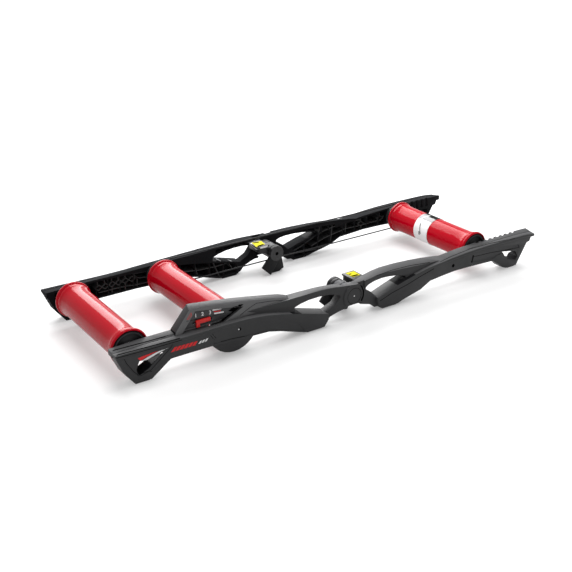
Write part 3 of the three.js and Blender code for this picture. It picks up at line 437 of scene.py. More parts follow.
# end caps and bearings: their sections' rows are a radius and how far past the drum's end
cap = {
    "steps": 96,
    "shell": [(16.4, -22), (20, -22), (20, -10), (36.5, -10), (36.5, -22), (42.2, -22), (42.2, -1.6), (41.7, -0.9),
              (40.6, -0.9), (40, -1.6)],
    "dish": [(37.3, -1.9), (36.5, -2.8), (35.3, -6.5), (21.5, -6.5), (20.2, -5.7), (19.6, -1.8), (19, -1.2),
             (17, -1.2), (16.4, -1.8)],
    "pulley": [(32, -1.6), (31, -0.6), (31, 7.2), (39.4, 8.6), (40, 9.4), (40, 10.6), (39.6, 11.2), (38.3, 12),
               (38, 13.5), (38.3, 15), (39.6, 15.8), (40, 16.4), (40, 17.2), (39.4, 17.8), (24, 17.8), (22, 17),
               (16.4, 17)],
    "rim": [(38.1, -1.8), (39.9, -1.8), (39.7, -0.4), (38.3, -0.4)],
}
bearing = {
    "steps": 64,
    "ring": [(6.4, -22), (16, -22), (16, -11.3), (15.6, -11), (13.2, -11), (13, -11.4), (9.2, -11.4), (9, -11),
             (6.6, -11), (6.4, -11.2)],
}
axle = {
    "steps": 48, "radius": 6, "edge": 0.6, "reach": {"rear": 208.8, "middle": 208.8, "front": 197.8},
    "spacer": [(6.4, 160.8), (9.6, 160.8), (10, 161.2), (10, 204.1), (9.6, 204.5), (6.4, 204.5)],
}


def turnedOnDrum(part, rows, drumName, sideName, steps, finish, node=None):
    section = [(radius, drum["half"] + past) for radius, past in rows]
    lathe(
        f"{drumName}{part}{sideName.title()}", section, (drum["places"][drumName], drum["height"]), steps, finish,
        f"{drumName}_drum", sides[sideName], node and f"{drumName}_{node}_{sideName}", drum["centre"],
    )


def makeAxle(drumName):
    carrier = bodyOfNode[f"{drumName}_axle"]
    place = (drum["places"][drumName], drum["height"])
    reach, radius, edge = axle["reach"][drumName], axle["radius"], axle["edge"]
    section = [(0, -reach), (radius - edge, -reach), (radius, -reach + edge), (radius, reach - edge),
               (radius - edge, reach), (0, reach)]
    lathe(f"{drumName}Axle", section, place, axle["steps"], "steel", carrier, 1, f"{drumName}_axle")
    lathe(
        f"{drumName}AxleSpacer", axle["spacer"], place, axle["steps"], "steel", carrier, 1,
        f"{drumName}_axle_spacer", drum["centre"],
    )


for drumName in drum["places"]:
    for sideName in sides:
        pulley = sideName == "far" and drumName != "rear"  # the belt runs on two of the far caps
        rows = cap["shell"] + cap["pulley" if pulley else "dish"]
        turnedOnDrum("Cap", rows, drumName, sideName, cap["steps"], "cap", "cap")
        if not pulley:
            turnedOnDrum("CapRim", cap["rim"], drumName, sideName, cap["steps"], "barrel")
        turnedOnDrum("Bearing", bearing["ring"], drumName, sideName, bearing["steps"], "steel", "bearing")
    makeAxle(drumName)
print("caps and axles ready")

# moulded parts keep the CAD's shape: the piece's name, its finish and the width of its rounded edges in mm
roundedParts = {
    # the far rails take the darker copy of the rail plastic: painted shade
    "rear_rail_near": ("rearRailNear", "rail", 1.1), "rear_rail_far": ("rearRailFar", "railFar", 1.1),
    "front_rail_near": ("frontRailNear", "rail", 1.1), "front_rail_far": ("frontRailFar", "railFar", 1.1),
    "brake_hood": ("brakeHood", "ear", 1.2), "setting_panel": ("settingPanel", "panel", 0.3),
    "setting_slider": ("settingSlider", "slider", 0.8),
    "rear_leg_near": ("rearLegNear", "leg", 1.2), "rear_leg_far": ("rearLegFar", "leg", 1.2),
    "front_leg_near": ("frontLegNear", "leg", 1.2), "front_leg_far": ("frontLegFar", "leg", 1.2),
    "guard_plate_near": ("guardPlateNear", "cap", 1.2), "guard_plate_far": ("guardPlateFar", "cap", 1.2),
    "rear_end_pad_near": ("rearEndPadNear", "pad", 0.6), "rear_end_pad_far": ("rearEndPadFar", "pad", 0.6),
    "rear_middle_pad_near": ("rearMiddlePadNear", "pad", 0.6),
    "rear_middle_pad_far": ("rearMiddlePadFar", "pad", 0.6),
    "front_end_pad_near": ("frontEndPadNear", "pad", 0.6), "front_end_pad_far": ("frontEndPadFar", "pad", 0.6),
    "front_middle_pad_near": ("frontMiddlePadNear", "pad", 0.6),
    "front_middle_pad_far": ("frontMiddlePadFar", "pad", 0.6),
    "magnet_carrier": ("magnetCarrier", "leg", 0.5), "magnet_1": ("magnetOne", "steel", 0.3),
    "magnet_2": ("magnetTwo", "steel", 0.3), "brake_disc": ("brakeDisc", "disc", 0.4),
}
dressed = {}
for node, (pieceName, finish, width) in roundedParts.items():
    dressed[node] = rounded(node, pieceName, finish, width * mm)

# the rails' inner sides take a near-black copy of their plastic as painted shade, as do the walls of two hollows,
# and the near tops a paler copy as painted sheen; a hollow's walls lie between two x and two z, in metres from
# the middle, and face within the two limits
railPaintedShadeAndSheen = {
    "inward": 0.5, "upward": 0.7, "topsAbove": 0.06,
    "footWindow": {"x": (0.56, 0.66), "z": (0.018, 0.078), "acrossUnder": 0.5, "awayUnder": 2},
    "armPocket": {"x": (0.14, 0.2), "z": (0.045, 0.09), "acrossUnder": 0.6, "awayUnder": -0.12},
}


def inHollow(face, hollow):
    place, normal = face.center, face.normal
    between = all(low < value < high for value, (low, high) in ((abs(place.x), hollow["x"]), (place.z, hollow["z"])))
    away = normal.x * math.copysign(1, place.x)
    return between and abs(normal.y) < hollow["acrossUnder"] and away < hollow["awayUnder"]


def paintRailShadeAndSheen(node):
    mesh = dressed[node].data
    mesh.materials.append(finishes["railInside"])
    mesh.materials.append(finishes["railTop"])
    near = node.endswith("near")
    for face in mesh.polygons:
        inward = face.normal.y if near else -face.normal.y
        # inner sides and hollow walls take painted shade, near tops painted sheen
        if (inward > railPaintedShadeAndSheen["inward"] or inHollow(face, railPaintedShadeAndSheen["footWindow"])
                or inHollow(face, railPaintedShadeAndSheen["armPocket"])):
            face.material_index = 1
        elif near and face.normal.z > railPaintedShadeAndSheen["upward"] and face.center.z > railPaintedShadeAndSheen["topsAbove"]:
            face.material_index = 2


for node in dressed:
    if "_rail_" in node:
        paintRailShadeAndSheen(node)

# the hood's top takes the rails' darker finish and its rear end a near-black one, chosen by the way each face points:
# painted shade
hoodPaintedShade = {"upward": 0.6, "rearward": -0.5, "rearEnd": -0.48}
hoodMesh = dressed["brake_hood"].data
hoodMesh.materials.append(finishes["rail"])
hoodMesh.materials.append(finishes["railInside"])
for face in hoodMesh.polygons:
    if face.normal.z > hoodPaintedShade["upward"]:
        face.material_index = 1
    elif face.normal.x < hoodPaintedShade["rearward"] and face.center.x < hoodPaintedShade["rearEnd"]:
        face.material_index = 2
print("moulded parts ready")

# hinges: steps round each turned piece, its finish, the node it stands for, and its section of (radius, y)
hinge = {
    "place": (-2.6, 65.6),
    "turned": {
        "Spindle": (48, "cap", "hinge_spindle", [(0, 138.6), (8.4, 138.6), (9, 139.2), (9, 230.4), (0, 230.4)]),
        "HubFace": (64, "hub", None, [(9.4, 137.7), (22.8, 137.7), (23.2, 138), (9, 138)]),
        # a near-black disc in the hub's hole: painted shade
        "HubHoleShade": (48, "gap", None, [(0, 138.2), (5.2, 138.2), (5.2, 138.7), (0, 138.7)]),
        "HubCollar": (48, "hub", None, [(5.3, 137.8), (9.2, 137.8), (9.2, 138.7), (5.3, 138.7)]),
        "Pin": (32, "white", None, [(0, 230.7), (2, 230.7), (2, 233.2), (1.6, 233.5), (0, 233.5)]),
        # a near-black ring in the gap round the disc's edge: painted shade
        "DiscRingShade": (96, "gap", None, [(22.6, 233.4), (23.7, 233.4), (23.7, 234), (22.6, 234)]),
        "Disc": (96, "rail", "hinge_disc", [
            (2.2, 231), (22.6, 231), (22.6, 233.3), (22, 233.9), (20.4, 233.9), (20, 233.5), (3, 233.5), (2.2, 233.2),
        ]),
        "Barrel": (96, "barrel", "hinge_barrel", [
            (9.35, 160.6), (21.6, 160.6), (22.5, 161.5), (22.5, 183.35), (22.2, 183.65), (21.3, 183.85),
            (21.3, 186.45), (22.2, 186.65), (22.5, 186.95), (22.5, 208.8), (21.6, 209.7), (9.35, 209.7),
        ]),
    },
}
for sideName, outward in sides.items():
    for part, (steps, finish, node, section) in hinge["turned"].items():
        body = "front_frame" if part == "Barrel" else "rear_frame"
        lathe(
            f"hinge{part}{sideName.title()}", section, hinge["place"], steps, finish, body, outward,
            node and f"{node}_{sideName}",
        )
print("hinges ready")

# belt: a round cord over two pulleys, in mm
belt = {"radius": 2.0, "plane": 171, "turn": 40.3, "arcSteps": 32, "spacing": 12, "roundness": 3}


def makeBelt():
    turn, height = belt["turn"], drum["height"]
    middle, front = drum["places"]["middle"], drum["places"]["front"]
    steps = int((front - middle) / belt["spacing"])
    path = []
    for here, there, above in ((front, middle, 1), (middle, front, -1)):
        for k in range(belt["arcSteps"] + 1):
            angle = math.pi * (k / belt["arcSteps"] - above / 2)
            path.append((here + turn * math.cos(angle), height + turn * math.sin(angle)))
        path += [(here + (there - here) * k / steps, height + above * turn) for k in range(1, steps)]
    data = bpy.data.curves.new("driveBelt", "CURVE")
    data.dimensions = "3D"
    data.bevel_depth = belt["radius"] * mm
    data.bevel_resolution = belt["roundness"]
    line = data.splines.new("POLY")
    line.points.add(len(path) - 1)
    for point, (x, z) in zip(line.points, path):
        point.co = (x * mm, belt["plane"] * mm, z * mm, 1)
    line.use_cyclic_u = True
    piece = baked(placed("driveBelt", data), "driveBelt")
    shadeSmooth(piece.data)
    piece.data.materials.clear()
    piece.data.materials.append(finishes["belt"])
    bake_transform(piece)
    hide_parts("drive_belt")


makeBelt()
print("belt ready")

# printed band on the front drum, in mm
band = {
    "from": -22, "to": 38, "radius": 43.3, "thick": 0.6, "steps": 128, "fieldSteps": 24,
    # each field: first and last angle round the drum, its two edges' y at the first and at the last, finish, lift
    "fields": {
        "bandGrey": (86, 124, (-22, 38), (-22, 38), "grey", 0.15),
        "bandBlack": (50, 89, (-22, 38), (-22, 38), "ink", 0.25),
        "bandBlackStep": (89, 100, (-22, 12), (-22, 12), "ink", 0.25),
        "bandLine": (88, 126, (11, 15), (24, 28), "white", 0.35),
        "bandStroke": (144, 186, (14, 17), (4, 7), "ink", 0.25),
        "bandStrokeLow": (176, 192, (8, 15), (8, 15), "grey", 0.25),
    },
}
bandOuter = band["radius"] + band["thick"]
lathe(
    "frontDrumBand",
    [(band["radius"], band["from"]), (bandOuter, band["from"]), (bandOuter, band["to"]), (band["radius"], band["to"])],
    (drum["places"]["front"], drum["height"]), band["steps"], "white", "front_drum", 1, "front_drum_band",
)


def bandField(name, start, end, firstEdges, lastEdges, finish, lift):
    points = []
    for step in range(band["fieldSteps"] + 1):
        share = step / band["fieldSteps"]
        angle = math.radians(start + (end - start) * share)
        radius = (bandOuter + lift) * mm
        for first, last in zip(firstEdges, lastEdges):
            points.append((
                drum["places"]["front"] * mm + radius * math.cos(angle), (first + (last - first) * share) * mm,
                drum["height"] * mm + radius * math.sin(angle),
            ))
    faces = [(2 * k, 2 * k + 1, 2 * k + 3, 2 * k + 2) for k in range(band["fieldSteps"])]
    settle(placed(name, meshOf(name, points, faces)), finish, "front_drum")


for fieldName, field in band["fields"].items():
    bandField(fieldName, *field)

# details placed by points of the photograph, each laid on the piece that carries it: how closely their outlines
# and lines follow it, in points, and the longest side of a face before it counts as a jump to another surface
laid = {"outlineStep": 1.5, "lineStep": 2.5, "cellJump": 0.006, "lineJump": 0.03}
cameraTurn = cameraObject.rotation_euler.to_matrix()


def sightLine(u, v):
    # The direction from the camera through a point of the photograph
    focal = camera["lens"] / camera["sensor"] * camera["picture"]
    half = camera["picture"] / 2
    return (cameraTurn @ Vector(((u - half) / focal, (half - v) / focal, -1))).normalized()


def carrierOf(*nodes):
    # The faces of the nodes' dressed pieces, ready to be met by sight lines, and the body they ride on
    work = bmesh.new()
    for node in nodes:
        work.from_mesh(dressed[node].data)
    tree = BVHTree.FromBMesh(work)
    work.free()
    return {"faces": tree, "body": bodyOfNode[nodes[0]]}


def meet(carrier, u, v, lift, deepest=None):
    # Where a sight line meets a carrier, lifted off it by mm, or None past the deepest y
    towards = sightLine(u, v)
    place, normal, _, _ = carrier["faces"].ray_cast(Vector(camera["eye"]), towards)
    if place is None or (deepest is not None and place.y > deepest * mm):
        return None
    return place + normal * ((lift if normal.dot(towards) < 0 else -lift) * mm)


def finer(points, step, closed):
    # More points along a path, so that it follows the surface
    made = []
    ends = points + [points[0]] if closed else points
    for (u0, v0), (u1, v1) in zip(ends, ends[1:]):
        count = max(1, math.ceil(math.hypot(u1 - u0, v1 - v0) / step))
        made += [(u0 + (u1 - u0) * k / count, v0 + (v1 - v0) * k / count) for k in range(count)]
    return made if closed else made + [points[-1]]


def plainPiece(name, points, faces, finish, body):
    mesh = meshOf(name, points, faces)
    pointOutwards(mesh)
    return settle(placed(name, mesh), finish, body)


def addFace(points, faces, corners, longest):
    # A face between four places, unless one is missing or they lie too far apart
    if None not in corners and max((a - b).length for a in corners for b in corners) <= longest:
        faces.append([len(points) + k for k in range(4)])
        points += corners


def printed(name, carrier, outlines, finish, lift=0.3, deepest=None, level=False):
    # Thin printed shapes on a side face, or on a level one
    points, faces = [], []
    for outline in outlines:
        places = [meet(carrier, u, v, lift, deepest) for u, v in finer(outline, laid["outlineStep"], True)]
        places = [place for place in places if place is not None]
        flat = [Vector((place.x, place.y if level else place.z, 0)) for place in places]
        start = len(points)
        points += places
        faces += [[start + k for k in triangle] for triangle in tessellate_polygon([flat])]
    plainPiece(name, points, faces, finish, carrier["body"])


def within(outline, u, v):
    inside = False
    for (u0, v0), (u1, v1) in zip(outline, outline[1:] + outline[:1]):
        if (v0 > v) != (v1 > v) and u < u0 + (v - v0) * (u1 - u0) / (v1 - v0):
            inside = not inside
    return inside


def filled(name, carrier, outline, cell, finish, lift):
    # A shape in fine cells, so that it can cross a step in what carries it; its one use is a near-black sheet of
    # painted shade
    points, faces = [], []
    (lowU, lowV), (highU, highV) = ([pick(place[k] for place in outline) for k in (0, 1)] for pick in (min, max))
    for i in range(math.ceil((highU - lowU) / cell)):
        for j in range(math.ceil((highV - lowV) / cell)):
            u, v = lowU + i * cell, lowV + j * cell
            if within(outline, u + cell / 2, v + cell / 2):
                steps = ((0, 0), (cell, 0), (cell, cell), (0, cell))
                corners = [meet(carrier, u + a, v + b, lift) for a, b in steps]
                addFace(points, faces, corners, laid["cellJump"])
    plainPiece(name, points, faces, finish, carrier["body"])


def lined(name, carrier, paths, width, finish="gap", lift=0.25):
    # Thin strips along paths, by default near-black ones that paint shade into grooves, creases and gaps; width is in
    # points of the photograph
    points, faces = [], []
    for path in paths:
        line = finer(path, laid["lineStep"], False)
        rows = []
        for k, (u, v) in enumerate(line):
            before, after = line[max(k - 1, 0)], line[min(k + 1, len(line) - 1)]
            du, dv = after[0] - before[0], after[1] - before[1]
            long = math.hypot(du, dv)
            du, dv = -dv / long * width / 2, du / long * width / 2
            rows.append((meet(carrier, u + du, v + dv, lift), meet(carrier, u - du, v - dv, lift)))
        for first, second in zip(rows, rows[1:]):
            addFace(points, faces, [*first, *reversed(second)], laid["lineJump"])
    plainPiece(name, points, faces, finish, carrier["body"])


def slanted(base, top, count, gap):
    # A row of plain slanted bars between two lines of the photograph
    bars = []
    for k in range(count):
        shares = (k / count, (k + 1 - gap) / count)
        low, high = ([tuple(a + (b - a) * share for a, b in zip(*line)) for share in shares] for line in (base, top))
        bars.append([low[0], low[1], high[1], high[0]])
    return bars


roundMark = {"steps": 32, "sunk": 0.5}


def sideMark(name, carrier, u, v, radius, finish, lift):
    # A round mark on a near side face: a low turned disc
    place = meet(carrier, u, v, 0)
    outside = -place.y / mm
    low, high = outside - roundMark["sunk"], outside + lift
    lathe(
        name, [(0, low), (radius, low), (radius, high), (0, high)], (place.x / mm, place.z / mm),
        roundMark["steps"], finish, carrier["body"], -1,
    )


nearRear = carrierOf("rear_rail_near")
printed("rearMarkRed", nearRear, [
    [(137.6, 358.4), (144.3, 355.5), (158.6, 350.6), (152.0, 354.0), (146.6, 357.0), (140.6, 360.9)],
], "red", deepest=-224)
printed("rearMarkWhite", nearRear, [
    [(142.8, 360.2), (147.0, 357.4), (152.4, 354.4), (159.0, 351.0), (168.6, 347.8), (163.0, 350.6),
     (157.2, 353.6), (152.4, 356.6), (148.0, 359.2), (144.6, 360.6)],
], "white", deepest=-224)
printed("rearBarsRed", nearRear, slanted(
    ((170.8, 352.4), (196.2, 344.9)), ((174.6, 347.2), (198.6, 340.6)), count=6, gap=0.22,
), "red")
printed("rearBarsWhite", nearRear, slanted(
    ((198.2, 344.0), (207.4, 340.9)), ((200.2, 341.0), (209.4, 337.6)), count=3, gap=0.3,
), "white")
# near-black strips along the rear rail's grooves and edges: painted shade
lined("rearTopGrooveShade", nearRear, [
    [(112.8, 350.6), (144, 342.4), (175.6, 333.6)], [(116.6, 355.3), (148, 347.0), (180, 338.2)],
], width=0.9)
lined("rearLipGrooveShade", nearRear, [[(116.6, 358.2), (148, 349.8), (182, 339.9)]], width=0.5)
lined("rearFootEdgeShade", nearRear, [
    [(124, 359), (126.5, 363.5), (133.5, 371.5), (138.4, 375.2), (146.3, 371.6), (152.0, 371.2)],
], width=0.45)
lined("rearSideMark", nearRear, [[(212.3, 333.9), (216.0, 338.2)], [(210.4, 335.4), (214.2, 339.8)]], width=0.45)
lined("housingEdgeShade", nearRear, [[(221, 341.6), (232, 338.6), (245, 336.0)]], width=0.4)

hood = carrierOf("brake_hood", "setting_panel")
printed("settingBarsWhite", hood, [
    [(212.2, 309.6), (221.4, 307.9), (221.5, 309.2), (212.4, 310.9)],
    [(213.9, 312.9), (223.6, 311.2), (223.8, 312.5), (214.4, 314.2)],
], "white")
printed("settingBarRed", hood, [[(213.6, 311.4), (220.8, 310.1), (220.9, 311.1), (213.8, 312.3)]], "red")
# a near-black sheet where the panel's recess ends: painted shade
filled("hoodGapPaintedShade", hood, [
    (216.4, 323.5), (232.4, 311.6), (227.8, 311.0), (233.8, 306.6), (237.8, 306.0), (239.2, 304.5), (243.4, 304.2),
    (220.2, 323.7),
], cell=0.4, finish="gap", lift=0.4)
# near-black strips along the hood's crease and the panel's edge: painted shade
lined("hoodCreaseShade", hood, [
    [(240.0, 315.3), (248.6, 308.4), (256.2, 303.3), (270, 301.2), (282.8, 300.2)],
], width=0.4)
lined("hoodPanelLineShade", hood, [[(186.2, 321.4), (205, 317.6), (226, 312.8)]], width=0.3, lift=0.5)
lined("settingTriangle", hood, [
    [(187.0, 319.4), (191.2, 312.6), (191.6, 315.4), (188.6, 319.2), (187.0, 319.4)],
], width=0.4, finish="slider")

# plain figures at the slider's three settings: sizes in metres, lift in mm
figures = {
    "size": 0.0135, "thickness": 0.0001, "weight": 0.0003, "lift": 0.35,
    "places": {"1": (195.7, 315.7), "2": (202.5, 314.0), "3": (210.0, 312.5)},
}
for figure, point in figures["places"].items():
    figureName = f"settingFigure{figure}"
    data = bpy.data.curves.new(figureName, "FONT")
    data.body = figure
    data.size = figures["size"]
    data.extrude = figures["thickness"]
    data.offset = figures["weight"]
    data.align_x = data.align_y = "CENTER"
    standing = placed(figureName, data)
    standing.location = meet(hood, *point, figures["lift"])
    standing.rotation_euler = (math.radians(90), 0, 0)
    bpy.context.view_layer.update()
    stand = standing.matrix_world.copy()
    flatFigure = baked(standing, figureName)
    flatFigure.data.transform(stand)
    settle(flatFigure, "white", hood["body"])

# a near-black disc in the rear rail's side hole: painted shade
sideMark("rearSideHoleShade", nearRear, 239.8, 329.2, radius=4.2, finish="gap", lift=0.3)
sideMark("rearSidePin", nearRear, 238.8, 329.3, radius=1.9, finish="white", lift=0.5)
nearFront = carrierOf("front_rail_near")
# a near-black disc in the front rail's side hole: painted shade
sideMark("frontSideHoleShade", nearFront, 453.2, 265.7, radius=5.0, finish="gap", lift=0.3)
# near-black strips in the front rail's notch and along its edges and creases: painted shade
lined("frontPanelNotchShade", nearFront, [[(473.4, 255.2), (472.6, 258.4), (471.6, 262.6)]], width=1.2)
lined("frontPanelEdgeShade", nearFront, [[(474, 256.6), (490, 252.8), (513, 248.6)]], width=0.4)
lined("frontBeamCreaseShade", nearFront, [
    [(380, 301), (392, 292.8), (407.2, 284.6), (420, 276.6), (434, 268.6)],
], width=0.5)
lined("frontArmLineShade", nearFront, [
    [(365, 281.0), (377, 275.6), (392, 270.2), (410, 265.6), (430, 262.4)],
    [(440, 262.0), (450, 257.0), (470, 249.0), (490, 243.4), (515, 238.4)],
], width=0.45)
# a near-black arc in the gap beside the hinge disc: painted shade
lined("hingeGapShade", carrierOf("rear_rail_near", "front_rail_near"), [
    [(358.6, 283.0), (361.6, 286.2), (363.4, 290.6), (363.2, 296.0), (361.2, 301.0)],
], width=1.3, lift=0.4)

farPlate = carrierOf("guard_plate_far")
printed("plateFarBorder", farPlate, [
    [(249.6, 243.9), (251.2, 243.0), (256.6, 247.8), (267.8, 245.3), (267.8, 247.0), (256.3, 249.6)],
], "white", level=True)
printed("plateFarYellow", farPlate, [
    [(251.6, 242.8), (261.2, 241.2), (265.0, 244.4), (256.6, 247.4)],
], "yellow", lift=0.5, level=True)
printed("plateFarMarks", farPlate, [
    [(252.9, 242.9), (258.4, 242.0), (259.2, 242.7), (253.6, 243.6)],
    [(257.2, 246.0), (263.2, 244.1), (263.9, 244.8), (257.8, 246.8)],
], "gap", lift=0.7, level=True)
nearPlate = carrierOf("guard_plate_near")
printed("plateNearYellow", nearPlate, [
    [(345.6, 273.3), (353.8, 271.3), (360.2, 275.0), (352.6, 277.2)],
], "yellow", lift=0.5, level=True)
printed("plateNearMarks", nearPlate, [
    [(348.4, 274.2), (350.8, 273.6), (351.8, 274.3), (349.4, 274.9)],
    [(350.8, 276.0), (357.2, 274.4), (358.6, 275.2), (352.4, 276.9)],
], "gap", lift=0.7, level=True)
print("marks ready")

# cross ribs in the open inner sides of the far rails, from their edges back to the outer wall; all in mm but
# the step between the points of a rib's path, which is in points of the photograph
ribs = {
    "width": 1.7, "recess": 0.6, "reach": 42, "pathStep": 3, "leastDepth": 1.5,
    # a rib goes no deeper than the rail lies above and below it, found in steps from a first depth
    "firstDepth": 2, "depthStep": 1, "intoWall": 0.4, "besides": 2, "coverWithin": 200,
    # x and y of the rails' inner faces, from the rear to the front
    "inner": [(-710, 190.8), (-286, 190.8), (-207, 192.4), (-147, 196.4), (-84, 198), (70, 198), (120, 197.2),
              (178, 194), (254, 192.4), (710, 192)],
}


def innerEdge(x):
    for (x0, y0), (x1, y1) in zip(ribs["inner"], ribs["inner"][1:]):
        if x <= x1 * mm:
            return (y0 + (y1 - y0) * (x / mm - x0) / (x1 - x0) + ribs["recess"]) * mm
    return (ribs["inner"][-1][1] + ribs["recess"]) * mm


def ribReach(wall, place):
    # How far across a rib goes from a place on its edge, or None where it has nothing to stand on
    behind = wall.ray_cast(place, Vector((0, 1, 0)), ribs["reach"] * mm)[0]
    if behind is None:
        return None
    reached, y = None, place.y + ribs["firstDepth"] * mm
    while y <= behind.y + ribs["intoWall"] * mm:
        for side in (-1, 1):
            beside = Vector((place.x, y, place.z + side * ribs["besides"] * mm))
            if wall.ray_cast(beside, Vector((0, 0, side)), ribs["coverWithin"] * mm)[0] is None:
                return reached
        reached, y = y, y + ribs["depthStep"] * mm
    return reached


def ribPlaces(wall, path):
    # x, y and z of a rib's edge where the photograph shows it, and how far across it goes there
    eye = Vector(camera["eye"])
    places = []
    for u, v in finer(path, ribs["pathStep"], False):
        towards = sightLine(u, v)
        edge = innerEdge(0)
        for _ in range(3):  # the inner face's y depends on x, and this is near enough
            place = eye + towards * ((edge - eye.y) / towards.y)
            edge = innerEdge(place.x)
        places.append((*place, ribReach(wall, place)))
    return places


def crossRibs(name, paths, node):
    wall = carrierOf(node)
    points, faces = [], []
    least = ribs["leastDepth"] * mm
    boxFaces = ((0, 1, 2, 3), (7, 6, 5, 4), (0, 4, 5, 1), (1, 5, 6, 2), (2, 6, 7, 3), (3, 7, 4, 0))
    for path in paths:
        places = ribPlaces(wall["faces"], path)
        for (x0, y0, z0, deep0), (x1, y1, z1, deep1) in zip(places, places[1:]):
            if deep0 is None or deep1 is None or deep0 < y0 + least or deep1 < y1 + least:
                continue
            long = math.hypot(x1 - x0, z1 - z0)
            ax, az = -(z1 - z0) / long * ribs["width"] / 2 * mm, (x1 - x0) / long * ribs["width"] / 2 * mm
            start = len(points)
            for first, second in ((y0, y1), (deep0, deep1)):
                points += [
                    (x0 + ax, first, z0 + az), (x0 - ax, first, z0 - az),
                    (x1 - ax, second, z1 - az), (x1 + ax, second, z1 + az),
                ]
            faces += [[start + k for k in face] for face in boxFaces]
    plainPiece(name, points, faces, "rib", wall["body"])


def zigzag(first, last, count, reach):
    # A chain of diamonds between two points of the photograph, as two zigzag lines
    upper, lower = [], []
    for k in range(2 * count + 1):
        u, v = (a + (b - a) * k / (2 * count) for a, b in zip(first, last))
        away = reach if k % 2 else 0
        upper.append((u, v - away))
        lower.append((u, v + away))
    return [upper, lower]


crossRibs("rearCrossRibs", [
    [(97.7, 276.6), (97.6, 285.2)], [(104.6, 280.4), (104.8, 283.4)], [(111.5, 273.4), (111.6, 281.6)],
    [(112.2, 287.2), (112.4, 292.4)], [(118.0, 277.4), (118.2, 279.8)], [(124.9, 270.2), (125.2, 277.8)],
    [(125.4, 283.4), (125.6, 289.4)], [(137.5, 278.6), (137.4, 286.4)],
    [(90.4, 282.1), (106.5, 279.0), (124.1, 274.4), (134.1, 273.9), (150, 270.6)],
    [(98.9, 293.0), (112.6, 289.2), (126.4, 286.2), (137.1, 284.8), (150, 281.7)],
    [(129.5, 269.9), (135.6, 276.6), (139.4, 278.2), (150, 276.7)],
    [(184, 264.6), (200, 262.6), (214, 263.0), (226, 260.4)],
    [(184, 272.0), (200, 270.0), (216, 266.6), (232, 261.6)],
    [(192.2, 253.5), (195.0, 265.0), (197.8, 276.8)], [(207.4, 251.0), (213.5, 263.5), (219.6, 276.5)],
    [(226, 259.0), (232, 268.0)],
    *zigzag((95.4, 288.9), (135.4, 278.0), count=6, reach=2.7),
], "rear_rail_far")
crossRibs("frontCrossRibs", [
    [(286.4, 255.4), (301.5, 246), (316.8, 235), (324.4, 230.4), (336, 225.8), (346, 221.4), (360.8, 219.8)],
    [(311.4, 246), (324.4, 238), (345, 228.8), (360.8, 225.2), (379.8, 220.2), (384.0, 216.0)],
    [(287.6, 254.8), (316.8, 249.0), (333.0, 242.4), (345, 237.2), (360.8, 231.0), (380, 226.6)],
    [(319.8, 226.6), (317.2, 243.6)], [(332.2, 225.0), (330.6, 240.6)], [(346.2, 220.6), (345.0, 235.0)],
    [(360.7, 217.6), (360.9, 221.2)], [(361.0, 226.4), (361.0, 230.6)], [(379.8, 213.2), (379.8, 216.0)],
    *zigzag((357.6, 223.9), (364.0, 223.4), count=1, reach=2.4),
    *zigzag((376.8, 218.9), (383.2, 217.7), count=1, reach=2.4),
    *zigzag((418.4, 207.3), (424.8, 205.9), count=1, reach=2.2),
    [(410, 210.0), (418.4, 207.3)], [(424.8, 205.9), (434, 203.4)],
], "front_rail_far")
print("ribs ready")

# floor and light, in metres and watts
stage = {
    "floorColour": 0.58, "floorRoughness": 0.8, "floorCorners": [(-9, -9, 0), (9, -9, 0), (9, 12, 0), (-9, 12, 0)],
    # what the floor adds where it is seen directly, from near the object to far from it
    "nearGlow": 0.27, "farGlow": 0.78, "near": 0.25, "far": 2.1,
    "sky": 0.55,  # the world's light on the object
    # each lamp: its place, what it is turned to, its width and height, and its power
    "lamps": {
        "panel": ((0.45, 1.65, 1.25), (0.1, 0, 0.05), (2.0, 1.3), 72),
        "overhead": ((0.0, 0.2, 2.6), (0, 0, 0), (2.0, 1.4), 46),
    },
}
floorMesh = meshOf("floor", stage["floorCorners"], [(0, 1, 2, 3)])
floorObject = placed("floor", floorMesh)
floorMaterial, floorTree, floorShader = startMaterial(
    "paleFloor", [stage["floorColour"]] * 3, stage["floorRoughness"]
)
floorShader.inputs["Specular IOR Level"].default_value = 0
floorMesh.materials.append(floorMaterial)


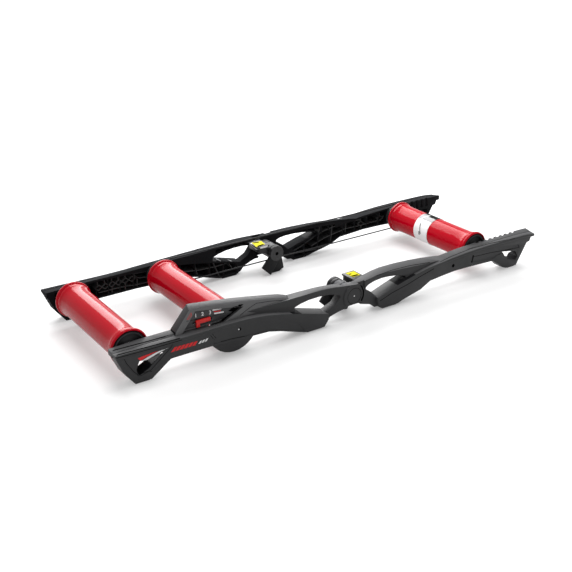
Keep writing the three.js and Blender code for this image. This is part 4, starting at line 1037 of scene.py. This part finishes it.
def seenDirectly(tree):
    # 1 for rays that show the background: from the camera, off gloss and through glass
    path = tree.nodes.new("ShaderNodeLightPath").outputs
    either = mathNode(tree, "MAXIMUM", path["Is Camera Ray"], path["Is Glossy Ray"])
    return mathNode(tree, "MAXIMUM", either, path["Is Transmission Ray"])


def lightFloor(tree, shader):
    glow = tree.nodes.new("ShaderNodeEmission")
    place = tree.nodes.new("ShaderNodeTexCoord")
    fromMiddle = tree.nodes.new("ShaderNodeVectorMath")
    fromMiddle.operation = "LENGTH"
    tree.links.new(place.outputs["Object"], fromMiddle.inputs[0])
    fade = tree.nodes.new("ShaderNodeMapRange")
    for socketName, key in (("From Min", "near"), ("From Max", "far"), ("To Min", "nearGlow"), ("To Max", "farGlow")):
        fade.inputs[socketName].default_value = stage[key]
    tree.links.new(fromMiddle.outputs["Value"], fade.inputs["Value"])
    strength = mathNode(tree, "MULTIPLY", seenDirectly(tree), fade.outputs["Result"])
    tree.links.new(strength, glow.inputs["Strength"])
    both = tree.nodes.new("ShaderNodeAddShader")
    tree.links.new(shader.outputs[0], both.inputs[0])
    tree.links.new(glow.outputs[0], both.inputs[1])
    tree.links.new(both.outputs[0], tree.nodes["Material Output"].inputs["Surface"])


def makeSky():
    # White where it is seen, and dimmer where it lights the object
    world = bpy.data.worlds.new("studio")
    bpy.context.scene.world = world
    world.use_nodes = True
    tree = world.node_tree
    background = tree.nodes["Background"]
    background.inputs["Color"].default_value = (1, 1, 1, 1)
    shown = seenDirectly(tree)
    unseen = mathNode(tree, "MULTIPLY", mathNode(tree, "SUBTRACT", 1.0, shown), stage["sky"])
    tree.links.new(mathNode(tree, "ADD", shown, unseen), background.inputs["Strength"])


def areaLight(name, place, target, size, power):
    light = bpy.data.lights.new(name, "AREA")
    light.energy = power
    light.shape = "RECTANGLE"
    light.size, light.size_y = size
    lamp = placed(name, light)
    lamp.location = place
    lamp.rotation_euler = (Vector(target) - Vector(place)).to_track_quat("-Z", "Y").to_euler()


lightFloor(floorTree, floorShader)
makeSky()
for lampName, lamp in stage["lamps"].items():
    areaLight(lampName, *lamp)
print("stage ready")
